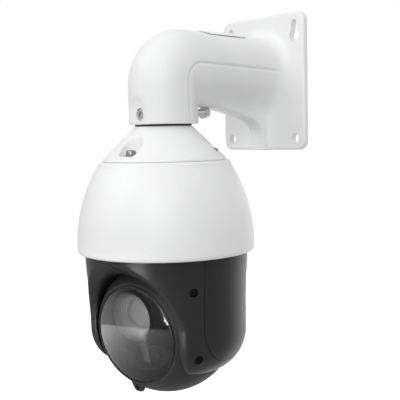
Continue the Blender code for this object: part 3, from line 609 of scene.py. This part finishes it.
# ---- wall bracket
def arm_shape(x, d, z, inset=0.0, joint_r=6.0):
    """Distance from the arm, where d is how far a point is from the wall: an oval bar out from
    the wall, a round leg down, and between them a quarter turn whose section changes from one
    to the other. Where bar and leg meet inside the turn the corner is filleted."""
    turn_d, turn_z = REACH - ELBOW_R, ARM_Z - ELBOW_R
    height = ARM_HALF_H - ARM_DROOP * (1 - np.clip(d / turn_d, 0, 1)) * (z > ARM_Z)
    bar = oval(x, z - ARM_Z, ARM_HALF_W - inset, height - inset)
    leg = np.hypot(x, d - REACH) - LEG_R + inset
    out, up = np.maximum(d - turn_d, 0), np.maximum(z - turn_z, 0)
    lean = np.arctan2(up, np.maximum(out, 1e-6))
    share = np.sin(lean) ** 2
    half_w = LEG_R + (ARM_HALF_W - LEG_R) * share - inset
    half_h = LEG_R + (ARM_HALF_H - LEG_R) * share - inset
    elbow = oval(x, np.hypot(out, up) - ELBOW_R, half_w, half_h)
    fillet = joint_r * np.clip(np.minimum(turn_d - d, turn_z - z) / 9.0, 1e-6, 1)
    corner = joined(bar, leg, fillet)
    return np.where(d > turn_d, np.where(z > turn_z, elbow, leg),
                    np.where(z > turn_z, bar, corner))


def step_line(d, z):
    """Signed distance, seen from the side, to the line that runs along the arm and down the
    leg: below nought it is the recessed inner side."""
    above = z - (71.0 - 0.0316 * (116.6 - d))
    return common(d - 133.0, above, 16.5)


def casting_shape(x, y, z):
    """The bracket: arm, web, wall plate and collar boss, filleted into each other, the inner
    half of the arm's sides sunk a little behind a fine groove, and the leg's front cut flat."""
    d = -y
    line = step_line(d, z)
    fade = eased(d, 12.0, 24.0) * eased(np.abs(x), 6.0, 14.0)
    sunk = 0.7 * (1 - eased(line, -1.2, 0.2)) * fade
    groove = 1.2 * np.exp(-((line + 0.1) / 1.15) ** 2) * fade
    arm = arm_shape(x, d, z) + sunk + groove
    web_slope = (z - 40.6) * -0.9653 + (d - 107.0) * 0.2610
    web_side = joined(web_slope, d - WEB_TOE, 16.0)
    web = common(np.abs(x) - WEB_HALF, common(web_side, slab(z, PLATE_LOW - 20, ARM_Z)), 2.0)
    web = np.maximum(web, d - REACH + 10)
    arm = joined(arm, web, WEB_FILLET)
    plate = common(rounded_box(x, z - (PLATE_LOW + PLATE_HIGH) / 2, PLATE_HALF_W,
                               (PLATE_HIGH - PLATE_LOW) / 2, PLATE_CORNER),
                   slab(d, 0.0, PLATE_T), PLATE_EDGE)
    root = 3.0 + 8.0 * eased(z, 12.0, 40.0)
    body = joined(arm, plate, root)
    boss = common(rounded_box(x, d - BOSS_D, BOSS_HALF_W, BOSS_HALF_D, 2.0),
                  slab(z, LEG_LOW, BOSS_TOP), 1.0)
    body = joined(body, boss, 1.2)
    front = d - REACH - LEG_FLAT - 2.6 * eased(z, 30.0, 46.0)
    body = common(body, front, 0.5)
    body = common(body, np.where(d > 60, LEG_LOW, PLATE_LOW) - z, 0.8)
    body = np.maximum(body, -d)
    hollow = arm_shape(x, np.maximum(d, 2), np.maximum(z, 20), ARM_WALL, 0.001)
    return less(body, hollow, 0.8)


def wall_bracket():
    """The one-piece casting with its holes."""
    step = 1.25
    close = 0.62
    xs = axis_steps(-60, 60, step)
    ys = axis_steps(-175, 3, step, [(-134.5, -115.0, close)])
    zs = axis_steps(-15, 128, step, [(64.0, 73.5, close)])
    bracket = mesh_object("bracket_casting", *netted(casting_shape, xs, ys, zs))
    carve(bracket, rod(LEG_BORE, 0, LEG_LOW + 26, Matrix.Translation((0, -REACH, 0)), 96))
    for side in (-1, 1):
        carve(bracket, rod(LOW_HOLE_R, -5, 15, Matrix.Translation((side * HOLE_X, 0, 0)) @ FACING))
        angle = np.linspace(0, TURN, 96, endpoint=False)
        across, up = np.cos(angle), np.sin(angle)
        wide = np.where(up < 0.735, KEY_BIG_R, KEY_SMALL_R)
        key = np.column_stack([across * wide, up * wide + np.where(up < 0.735, 0, KEY_RISE)])
        key[:, 0] = np.clip(key[:, 0], -KEY_BIG_R, KEY_BIG_R)
        carve(bracket, turned_to(raised("key", key, -5, 15),
                                 Matrix.Translation((side * HOLE_X, 0, KEY_Z)) @ FACING))
    screw = Matrix.Translation((SET_SCREW_X, -REACH, SET_SCREW_Z)) @ FACING
    carve(bracket, rod(SET_SCREW_R + 0.4, 18, 45, screw))
    carve(bracket, rod(3.9, 10, 40, Matrix.Translation((0, -REACH, BOLT_Z)) @ ALONG_Y))
    window = rounded_path([(-9, -88, 5), (9, -88, 5), (9, -47, 5), (-9, -47, 5)])
    carve(bracket, raised("window", window, ARM_Z + 15, ARM_Z + 45))
    return finish_piece(bracket, WALL, "bracket", "white_paint", ENAMEL, "wall_bracket", sharp=40)


def lid_part(name, low, high, inset, ease):
    """A round-cornered patch of the arm's own surface between two heights over it."""
    def shape(x, y, z):
        plan = rounded_box(x, -y - LID_D, LID_HALF_W - inset, LID_HALF_L - inset,
                           LID_CORNER - inset)
        skin = slab(arm_shape(x, -y, z), low, high)
        return common(common(plan, skin, ease), ARM_Z - z, 0.1)
    step = 0.7
    return mesh_object(name, *netted(shape, axis_steps(-23, 23, step), axis_steps(-110, -40, step),
                                     axis_steps(92, 108, step)))


def arm_lid():
    """The access lid on the arm's crown, and a thin black rubber strip under its rim as a painted shadow, standing
    in for the shadow line beneath the lid.
    """
    lid = lid_part("arm_lid", 0.3, 1.4, 0.0, 0.5)
    finish_piece(lid, WALL, "bracket", "white_paint", ENAMEL, "arm_top_cover")
    # painted shadow: this thin black strip under the lid's rim stands where there is only the shadow under the
    # lid's edge
    shadow_strip = lid_part("lid_shadow_line", -2.0, 0.27, 0.3, 0.1)
    finish_piece(shadow_strip, WALL, "bracket", "rubber", RUBBER)


def hexagon(radius, turn):
    """A six-cornered outline."""
    angle = np.arange(6) * pi / 3 + turn
    return np.column_stack([np.cos(angle), np.sin(angle)]) * radius


def crossed(made, low, high, half_long, half_wide):
    """Cuts a cross recess, its arms drawn in a little towards their ends."""
    for turn in (0, pi / 2):
        arm = [(-half_long, -half_wide * 0.8), (0, -half_wide), (half_long, -half_wide * 0.8),
               (half_long, half_wide * 0.8), (0, half_wide), (-half_long, half_wide * 0.8)]
        carve(made, turned_to(raised("arm", arm, low, high), Matrix.Rotation(turn, 4, "Z")))
    return made


def collar_screws():
    """The set screw in front of the collar, and the long bolt behind it, whose thread is a row
    of ridges. Both have hexagon sockets."""
    low, high = 24.6, LEG_FLAT - 0.5
    outline = [(0, low), (SET_SCREW_R, low), (SET_SCREW_R, high - 0.5), (SET_SCREW_R - 0.5, high),
               (SET_SCREW_R - 0.9, high + 0.05), (0, high + 0.12)]
    screw = lathe("set_screw", outline, 64)
    carve(screw, raised("socket", hexagon(2.5, 0.3), high - 2.6, high + 5))
    turned_to(screw, Matrix.Translation((SET_SCREW_X, -REACH, SET_SCREW_Z)) @ FACING)
    finish_piece(screw, WALL, "bracket", "steel", STEEL, "collar_set_screw")
    turns = np.linspace(0, 22, 22 * 6 + 1)
    thread = np.column_stack([3.6 - 0.32 * np.abs(2 * (turns % 1) - 1), low + turns])
    outline = [(0, low), *thread, (3.5, 47.4), (4.0, 48.0), (5.55, 48.3), (5.7, 48.8),
               (5.7, 53.6), (5.3, 54.4), (4.6, 54.6), (0, 54.6)]
    bolt = lathe("collar_bolt_long", outline, 60)
    carve(bolt, raised("socket", hexagon(3.0, 0.0), 51.5, 60))
    turned_to(bolt, Matrix.Translation((0, -REACH, BOLT_Z)) @ ALONG_Y)
    finish_piece(bolt, WALL, "bracket", "steel", STEEL, "collar_bolt")


# ---- fixed housing
def dome_radius(z, inset=0.0):
    """The dome is an ellipse standing on its widest ring."""
    share = np.minimum(np.abs(z - DOME_WIDEST) / (DOME_HALF_H - inset), 1)
    return (DOME_R - inset) * np.sqrt(1 - share ** 2)


def dome():
    """The white dome: an ellipse spun about the pan axis, a rolled rim below and a lip above,
    and its inner wall."""
    up = np.linspace(4.6, 78.0, 60)
    outer = np.column_stack([dome_radius(up), up])
    rim = np.radians(np.linspace(-80, 0, 10))
    rolled = np.column_stack([DOME_R - 2.1 + 2.1 * np.cos(rim), 4.2 + 4.2 * np.sin(rim)])
    lip = [(61.55, 80.4), (61.0, 81.6), (60.3, 82.4), (59.4, 82.85), (58.2, 82.9), (50.5, 82.9)]
    down = np.linspace(79.0, 2.0, 30)
    inner = np.column_stack([dome_radius(down, DOME_WALL), down])
    outline = np.vstack([rolled, outer, lip, [(50.5, 79.8)], inner, [(78.6, 0.3), (79.4, 0.0)]])
    made = lathe("dome_cover", outline, 200)
    finish_piece(made, HOUSING, "bracket", "white_paint", ENAMEL, "dome_shell", sharp=38)


def cone_height(radius):
    """Height of the cone cover's skin: a straight cone between two eased rims."""
    return np.interp(radius, [0, CONE_TOP_R - 1.6, CONE_TOP_R - 0.7, CONE_TOP_R, 53.4, 54.5, 55.6,
                              56.6, 57.1, CONE_FOOT_R],
                     [CONE_TOP_Z, CONE_TOP_Z, CONE_TOP_Z - 0.25, CONE_TOP_Z - 0.9, 88.7, 87.7,
                      86.6, 85.5, 84.8, 84.2])


def cone():
    """The cone cover: rings of points at each turn and radius, at the cone's height, pressed
    down to a flat floor inside the three round wells. Turns and radii are closer together
    across the wells."""
    spread = np.linspace(-1, 1, 56)
    near = np.concatenate([a + spread * 0.34 for a in WELLS])
    far = np.concatenate([a + np.linspace(0.36, TURN / 3 - 0.36, 26) for a in WELLS])
    angle = np.sort(np.mod(np.concatenate([near, far]), TURN))
    radius = np.concatenate([[NECK_R, 24.5, CONE_TOP_R - 1.6, CONE_TOP_R - 1.1, CONE_TOP_R - 0.7,
                              CONE_TOP_R - 0.3, CONE_TOP_R], np.linspace(29, 34, 5),
                             np.linspace(34.5, CONE_FOOT_R, 70)])
    ring, turn = np.meshgrid(radius, angle, indexing="ij")
    height = cone_height(ring)
    for a in WELLS:
        gone = np.hypot(ring * np.cos(turn) - SCREW_CIRCLE * cos(a),
                        ring * np.sin(turn) - SCREW_CIRCLE * sin(a)) - WELL_R
        sunk = WELL_FLOOR + (height - WELL_FLOOR) * eased(gone, -0.5, 0.5)
        height = np.minimum(height, sunk)
    x, y = ring * np.cos(turn), ring * np.sin(turn)
    skin = np.stack([x, y, height], 2)
    under = np.stack([x, y, height - CONE_WALL], 2)[::-1]
    under[..., 2] = np.maximum(under[..., 2], LEDGE_Z)
    edge = [np.stack([CONE_FOOT_R * np.cos(angle), CONE_FOOT_R * np.sin(angle), 0 * angle + z],
                     1)[None] for z in (LEDGE_Z + 0.3, LEDGE_Z)]
    points = np.concatenate([skin, *edge, under])
    made = merged(mesh_object("cone_cap", points.reshape(-1, 3),
                              grid_faces(len(points), len(angle), True, True)), 1e-3)
    finish_piece(made, HOUSING, "bracket", "white_paint", ENAMEL, "cone_cover", sharp=48)


def neck_ring():
    """The rubber ring in the gap between cone and collar."""
    low, high = CONE_TOP_Z + 0.3, CONE_TOP_Z + 1.5
    outline = [(NECK_R + 0.1, low), (26.0, low), (26.3, low + 0.3), (26.35, low + 0.6),
               (26.3, high - 0.3), (26.0, high), (NECK_R + 0.1, high)]
    ring = lathe("neck_ring", outline, 128)
    finish_piece(ring, HOUSING, "bracket", "rubber", RUBBER, "neck_seal")


def cone_screws():
    """The three pan-head screws that stand in the cone cover's wells."""
    seat = WELL_FLOOR + 0.3
    outline = [(0, LEDGE_Z - 5), (2.0, LEDGE_Z - 5), (2.0, seat), (5.4, seat), (5.4, seat + 0.8),
               (4.4, seat + 0.9), (4.4, seat + 4.2), (4.0, seat + 4.9), (2.8, seat + 5.4),
               (0, seat + 5.6)]
    for number, a in enumerate(WELLS, 1):
        screw = crossed(lathe(f"well_screw_{number}", outline, 48), seat + 3.4, seat + 9, 2.4, 0.55)
        turned_to(screw, Matrix.Translation((SCREW_CIRCLE * cos(a), SCREW_CIRCLE * sin(a), 0))
                  @ Matrix.Rotation(a + 0.6, 4, "Z"))
        finish_piece(screw, HOUSING, "bracket", "steel", DULL_STEEL, f"cone_screw_{number}")


# ---- turret
def turret_radius(z):
    """The casing's radius at each height, down to where the ears' feet begin to round."""
    return np.interp(z, [FOOT_Z, -45.0, -25.0, -10.0, 6.0], [73.3, 73.6, 74.3, 75.3, 75.6])


def turret_skin(x, y, z):
    """Distance from the turret's outer surface: round about the pan axis, with ears whose feet
    end in a quarter ellipse."""
    around = np.hypot(x, y)
    side = around - turret_radius(z)
    out, down = np.maximum(around - (turret_radius(FOOT_Z) - FOOT_R), 0), np.maximum(FOOT_Z - z, 0)
    foot = oval(out, down, FOOT_R, FOOT_DROP)
    return np.where(z > FOOT_Z, side, foot)


def ear_edge(z):
    """How far forward the ears' front edge stands: straight above, a fuller-than-round curve
    towards the foot."""
    drop = np.clip(-(z - ARCH_Z) / EAR_DROP, 0, 1)
    return EAR_D * (1 - drop ** 2.6) ** (1 / 2.6)


def arch_cut(x, z):
    """How far ahead the turret reaches before it is open. From the front the arch is round.
    Its band runs from the throat's edge out to the casing's skin, level with the ears' front at
    the sides and leaning back above the ball."""
    up = np.maximum(z - ARCH_Z, 0)
    spread = np.hypot(x, up)
    rise = np.clip(up / np.maximum(spread, 1e-6), 0, 1)
    inner = 47.0 + 13.0 * rise ** 1.6
    outer = 46.0 + 28.5 * rise ** 1.25
    band = inner + (spread - THROAT_R) / (ARCH_R - THROAT_R) * (outer - inner)
    return np.where(z > ARCH_Z, band, band - EAR_D + ear_edge(z))


def casing_shape(side):
    """One half of the turret's casing: its skin, cut by the arch in front and between the ears
    behind, with room for the ball and a drop below it."""
    def shape(x, y, z):
        body = common(turret_skin(x, y, z), slab(z, CASING_LOW, CASING_TOP), 1.0)
        body = common(body, HALF_GAP - side * x, 0.5)
        body = less(body, arch_cut(x, z) + y, 1.6)
        rear = ear_edge(z) + 34.0 * eased(z, -62.0, -38.0) + 60 * (z > -39.0)
        body = less(body, rear - y, 1.6)
        up = np.maximum(z - ARCH_Z, 0)
        throat = np.maximum(np.hypot(x, up) - THROAT_R, y)
        ball_room = common(np.sqrt(x ** 2 + y ** 2 + (z - TILT_Z) ** 2) - CAVITY_R,
                           np.abs(x) - CAVITY_SIDE, 0.5)
        drop = common(np.abs(x) - CAVITY_LOW_SIDE, slab(y, -60, 60), 0.5)
        drop = common(drop, z - TILT_Z, 0.5)
        open_room = np.minimum(np.minimum(throat, ball_room), drop)
        return less(body, open_room, 3.2)
    return shape


def cover_outline(grow):
    """The ear cover's outline seen along the tilt axis: straight edges, and a round foot."""
    angle = np.linspace(pi, TURN, 40)
    foot = np.column_stack([(COVER_HALF + grow) * np.cos(angle),
                            COVER_FOOT_Z + (COVER_DROP + grow) * np.sin(angle)])
    return np.vstack([[(COVER_HALF + grow, COVER_TOP + 4), (-COVER_HALF - grow, COVER_TOP + 4)],
                      foot])


def radial(side, y, z):
    """Turns +Z to point out through the casing, square to it, at a place on one ear."""
    lean = atan2(y, side * sqrt(73.4 ** 2 - y ** 2))
    return Matrix.Translation((0, 0, z)) @ Matrix.Rotation(lean, 4, "Z") @ ALONG_X


def turret_casings():
    """Both halves of the casing, their ear covers and screws."""
    step = 1.15
    for side, word in ((1, "right"), (-1, "left")):
        xs = axis_steps(-3, 79, step) if side > 0 else -axis_steps(-3, 79, step)[::-1]
        half = mesh_object(f"casing_{word}", *netted(casing_shape(side), xs,
                           axis_steps(-79, 79, step), axis_steps(-114, 9, step)))
        low, high = sorted((side * EAR_ROOM_SIDE, side * 90.0))
        carve(half, turned_to(raised("ear_room", cover_outline(0.35), low, high), SIDEWAYS))
        pivot = Matrix.Translation((0, 0, TILT_Z)) @ Matrix.Rotation(side * pi / 2, 4, "Y")
        carve(half, rod(PIVOT_R, 40, 60, pivot))
        for y, z, surface in CASING_SCREWS:
            carve(half, rod(2.1, surface - 9, 90, radial(side, y, z), 32))
            carve(half, rod(4.0, surface - 3.5, 90, radial(side, y, z), 48))
        finish_piece(half, TURRET, "turret", "black_casing", CASING, f"turret_casing_{word}",
                     sharp=42)
        for number, (y, z, surface) in enumerate(CASING_SCREWS, 1):
            outline = [(0, surface - 7), (1.8, surface - 7), (1.8, surface - 3.2),
                       (3.6, surface - 3.2), (3.6, surface - 2.2), (3.0, surface - 1.6),
                       (0, surface - 1.3)]
            screw = crossed(lathe(f"ear_screw_{word}_{number}", outline, 40), surface - 2.9,
                            surface + 3, 2.2, 0.5)
            turned_to(screw, radial(side, y, z))
            finish_piece(screw, TURRET, "turret", "dark_steel", DARK_STEEL,
                         f"casing_screw_{word}_{number}")
        ear_cover(side, word)


def ear_cover(side, word):
    """The lid over an ear's hollow: the casing's own profile spun about the pan axis as a thin
    skin, and cut to the cover's outline."""
    z = np.concatenate([np.linspace(COVER_TOP, FOOT_Z, 60), FOOT_Z - np.linspace(
        0, 1, 24)[1:] ** 0.8 * (FOOT_DROP - 1.0)])
    radius = np.where(z > FOOT_Z, turret_radius(z), turret_radius(FOOT_Z) - FOOT_R + FOOT_R
                      * np.sqrt(np.clip(1 - ((FOOT_Z - z) / FOOT_DROP) ** 2, 0, 1)))
    outer = np.column_stack([radius, z])
    inner = np.column_stack([radius - COVER_T, z])[::-1]
    ring = lathe(f"ear_lid_{word}", np.vstack([outer, inner]), 256)
    low, high = sorted((side * COVER_SIDE, side * 90.0))
    carve(ring, turned_to(raised("trim", cover_outline(-0.05), low, high), SIDEWAYS), "INTERSECT")
    finish_piece(ring, TURRET, "turret", "black_casing", CASING, f"ear_cover_{word}", sharp=50)


# ---- ball
def sphere_part(name, radius, side, near, far, ease=0.0):
    """A solid slice of a sphere between two distances ahead of its centre, its sides cut flat.
    The slice's front rim can be eased."""
    angle = np.linspace(asin(max(near / radius, -1)), asin(min(far / radius, 1)), 90)
    arc = np.column_stack([radius * np.cos(angle), radius * np.sin(angle)])
    if ease:
        arc = np.vstack([arc[:-3], [(arc[-1, 0] - 0.15, far - 0.7 * ease),
                                    (arc[-1, 0] - 0.6 * ease, far - 0.15 * ease),
                                    (arc[-1, 0] - 1.2 * ease, far)]])
    solid = turned_to(lathe(name, np.vstack([[(0, near)], arc, [(0, far)]]), 192), FACING)
    block = np.array([(-side, -90), (side, -90), (side, 90), (-side, 90)])
    return carve(solid, raised("sides", block, -90, 90), "INTERSECT")


def ball_shells():
    """The ball's front and rear halves, hollow, with the window's seat and the shafts' holes."""
    front = sphere_part("ball_front", BALL_R, BALL_SIDE, SHELL_SEAM + 0.15, FACE_D, 1.4)
    carve(front, sphere_part("hollow", BALL_R - BALL_WALL, BALL_SIDE - BALL_WALL,
                             SHELL_SEAM - 3, 43.0))
    carve(front, rod(SEAT_R, 30, 60, FACING, 160))
    finish_piece(front, BALL, "ball", "ball_finish", GRAINED, "ball_shell_front", sharp=45)
    rear = sphere_part("ball_rear", BALL_R, BALL_SIDE, -64.99, SHELL_SEAM - 0.15)
    carve(rear, sphere_part("hollow", BALL_R - BALL_WALL, BALL_SIDE - BALL_WALL,
                            -61.9, SHELL_SEAM + 3))
    carve(rear, rod(SHAFT_R, -60, 60, ALONG_X))
    finish_piece(rear, BALL, "ball", "ball_finish", GRAINED, "ball_shell_rear", sharp=45)


def face():
    """The bezel with its lug, and the smoked window."""
    rim = [(42.2, 43.6), (44.0, 43.6), (44.0, 46.0), (45.35, 46.0), (45.4, 46.5), (45.2, 47.1),
           (44.8, 47.45), (44.3, 47.5), (43.95, 47.3), (43.8, 46.9), (43.75, 45.2), (42.2, 45.2)]
    ring = turned_to(lathe("bezel_ring", rim, 160), FACING)
    lug = rounded_path([(-9.5, -44.4, 0.4), (-4.6, -53.2, 3.2), (3.4, -53.2, 3.2),
                        (8.0, -44.4, 0.4)], 8)
    carve(ring, turned_to(raised("lug", lug, 43.6, 47.3, 0.5), FACING), "UNION")
    carve(ring, rod(2.1, 45.4, 60, FACING @ Matrix.Translation((-1.2, -49.4, 0)), 40))
    finish_piece(ring, BALL, "ball", "ball_finish", BEZEL_BLACK, "face_bezel", sharp=40)
    pane = [(0, 45.4), (42.9, 45.4), (43.3, 45.7), (43.4, 46.6), (43.2, 47.2), (42.6, 47.5),
            (42.2, 47.5), (41.8, 47.5), (0, 47.5)]
    window = turned_to(lathe("smoked_window", pane, 160), FACING)
    finish_piece(window, BALL, "ball", "window_glass", WINDOW, "face_window", sharp=60)


def lens():
    """The black hood ring, the barrel's stepped rings behind it, and the front element, all
    turned about the lens's axis."""
    axis = Matrix.Translation((LENS_ACROSS, 0, LENS_UP)) @ FACING
    mouth = np.radians(np.linspace(180, 0, 13))
    bead = np.column_stack([24.1 + 1.1 * np.cos(mouth), 44.0 + 1.1 * np.sin(mouth)])
    hood = lathe("lens_hood", np.vstack([bead[::-1], [(22.9, 43.4), (22.7, 42.7), (25.2, 42.7)]]),
                 128)
    finish_piece(turned_to(hood, axis), BALL, "ball", "inner_plastic", BEZEL_BLACK, "lens_barrel")
    radius, depth = np.linspace(22.6, 15.6, 8), np.linspace(42.5, 33.4, 8)
    tread = np.column_stack([np.repeat(radius, 2), np.repeat(depth, 2)])
    tread[1::2, 0] -= 0.85
    tread[1::2, 1] -= 0.15
    outline = np.vstack([[(24.6, 42.5)], tread, [(14.6, 32.4), (14.6, -6.0), (20.0, -6.0),
                                                 (20.0, 33.0)]])
    barrel = lathe("barrel_rings", outline, 128)
    points = np.empty(len(barrel.data.vertices) * 3, np.float32)
    barrel.data.vertices.foreach_get("co", points)
    reach = barrel.data.attributes.new("reach", "FLOAT", "POINT")
    reach.data.foreach_set("value", np.hypot(points[0::3], points[1::3]))
    turned_to(barrel, axis)
    finish_piece(barrel, BALL, "ball", "inner_plastic", BARREL_PAINTED_LIGHT, "lens_barrel", sharp=28)
    swell = np.radians(np.linspace(0, 90, 18))
    element = np.vstack([[(0, 26.0), (14.2, 27.0)],
                         np.column_stack([14.2 * np.cos(swell), 29.4 + 5.2 * np.sin(swell)])])
    element[-1, 0] = 0
    glass = turned_to(lathe("front_element", element, 96), axis)
    finish_piece(glass, BALL, "ball", "lens_glass", OPTIC_PAINTED_REFLECTION, "front_lens", sharp=50)


def coat_the_rest():
    """Gives every CAD node its finish: its slot's, or black anodising for two fittings behind
    the window."""
    for name, held in frame["nodes"].items():
        coat = ANODISED if name in ("ir_heat_sink", "lens_mount_plate") else COATS[SLOT_OF[name]]
        held.data.materials.clear()
        held.data.materials.append(coat)


# ---- camera, floor and light
def stage():
    """A pale floor well below the object, which hangs from a wall, a tent all round that gives
    the even light and can't be seen itself, soft lamps, and the card that the window mirrors."""
    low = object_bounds()[0].z - 0.8
    angle = np.arange(96) * TURN / 96
    rings = [np.stack([r * np.cos(angle), r * np.sin(angle), 0 * angle + low], 1)
             for r in (0.0005, 1, 3, 5)]
    floor = mesh_object("studio_floor", np.concatenate(rings), grid_faces(4, 96, False, True))
    coat = Coat("pale_paper")
    floor.data.materials.append(coat.done(
        base_color=coat.tint(coat.noise(3.0, 2.0), (0.50, 0.50, 0.50), (0.52, 0.52, 0.52)),
        roughness=0.9, emission_color=(1, 1, 1, 1), emission_strength=0.9))
    floor.visible_diffuse = floor.visible_glossy = False
    floor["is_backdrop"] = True
    tent = lathe("studio_tent", [(6000 * sin(a), -6000 * cos(a))
                                 for a in np.radians(np.linspace(0, 180, 33))], 64)
    tent.data.transform(Matrix.Scale(MM, 4))
    coat = Coat("tent_cloth")
    x, y, z = coat.axes()
    high = (z / 6.0).between(0.0, 0.9)
    behind = (0.90 * y - 0.40 * x - 0.1 * z).between(3.0, 6.0)
    glow = 0.20 + 0.10 * high + 0.42 * behind
    tent.data.materials.append(coat.lit(glow, 2.5))
    tent.visible_camera = tent.visible_shadow = False
    tent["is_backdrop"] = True
    mirrored_card()
    lamp("key", (-0.7, -2.0, 1.3), 1.2, 14.0)
    lamp("second", (1.2, -1.6, 0.85), 1.0, 15.5)
    ahead = TILT_AT + FORWARD * 0.65
    lamp("lens_light", tuple(ahead), 0.10, 0.06, TILT_AT).data.spread = radians(9)
    world = bpy.data.worlds.new("studio")
    bpy.context.scene.world = world
    world.use_nodes = True
    world.node_tree.nodes["Background"].inputs["Color"].default_value = (1, 1, 1, 1)
    world.node_tree.nodes["Background"].inputs["Strength"].default_value = 1.0
    bpy.context.scene.view_settings.view_transform = "Standard"


def mirrored_card():
    """The card that the window mirrors when it faces forward: brighter below a slanting edge,
    and brighter towards one side. It isn't seen by anything that isn't glossy."""
    x, y = np.meshgrid([-0.30, 0.22], [-0.35, 0.30], indexing="ij")
    card = mesh_object("studio_card", np.stack([x, y, 0 * x], 2).reshape(-1, 3), [(0, 2, 3, 1)])
    across = Vector((-0.8288, 0.5596, 0))
    up = Vector((-0.1958, -0.2900, 0.9368))
    facing = Matrix((across, up, across.cross(up))).transposed().to_4x4()
    card.matrix_world = Matrix.Translation((-0.7727, -1.3499, -0.6916)) @ facing
    coat = Coat("card_paint")
    x, y, z = coat.axes()
    below = 1.0 - (y - 0.24 * x).between(0.002, 0.010)
    lower = 0.36 * coat.node("Math", {"operation": "EXPONENT"}, {0: 10.0 * x + 9.0 * y})
    upper = 0.004 + 0.48 * x.between(0.0, 0.12)
    glow = lower * below + upper * (1.0 - below)
    card.data.materials.append(coat.lit(glow, 5.0))
    card.visible_camera = card.visible_diffuse = card.visible_shadow = False
    card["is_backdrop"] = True


def lamp(name, at, size, power, target=Vector((0, -0.11, -0.04))):
    """A square soft lamp that points at the object."""
    light = bpy.data.lights.new(name, "AREA")
    light.size, light.energy = size, power
    made = linked(name, light)
    made.location = at
    made.rotation_euler = (target - Vector(at)).to_track_quat("-Z", "Y").to_euler()
    return made


def camera():
    """The camera stands in front, to the right, at the height of the bracket's foot."""
    yaw, pitch, roll = radians(48.387), radians(4.805), radians(-1.221)
    ahead = Vector((-sin(yaw) * cos(pitch), cos(yaw) * cos(pitch), -sin(pitch)))
    level = Vector((cos(yaw), sin(yaw), 0))
    above = level.cross(ahead)
    right = level * cos(roll) + above * sin(roll)
    up = above * cos(roll) - level * sin(roll)
    seen = bpy.data.cameras.new("camera")
    seen.sensor_width, seen.lens = 36.0, 68.76
    made = linked("camera", seen)
    turn = Matrix((right, up, -ahead)).transposed().to_4x4()
    made.matrix_world = Matrix.Translation((0.552454, -0.586627, 0.004667)) @ turn
    bpy.context.scene.camera = made


camera()
coat_the_rest()
wall_bracket()
arm_lid()
collar_screws()
dome()
cone()
neck_ring()
cone_screws()
turret_casings()
ball_shells()
face()
lens()
stage()
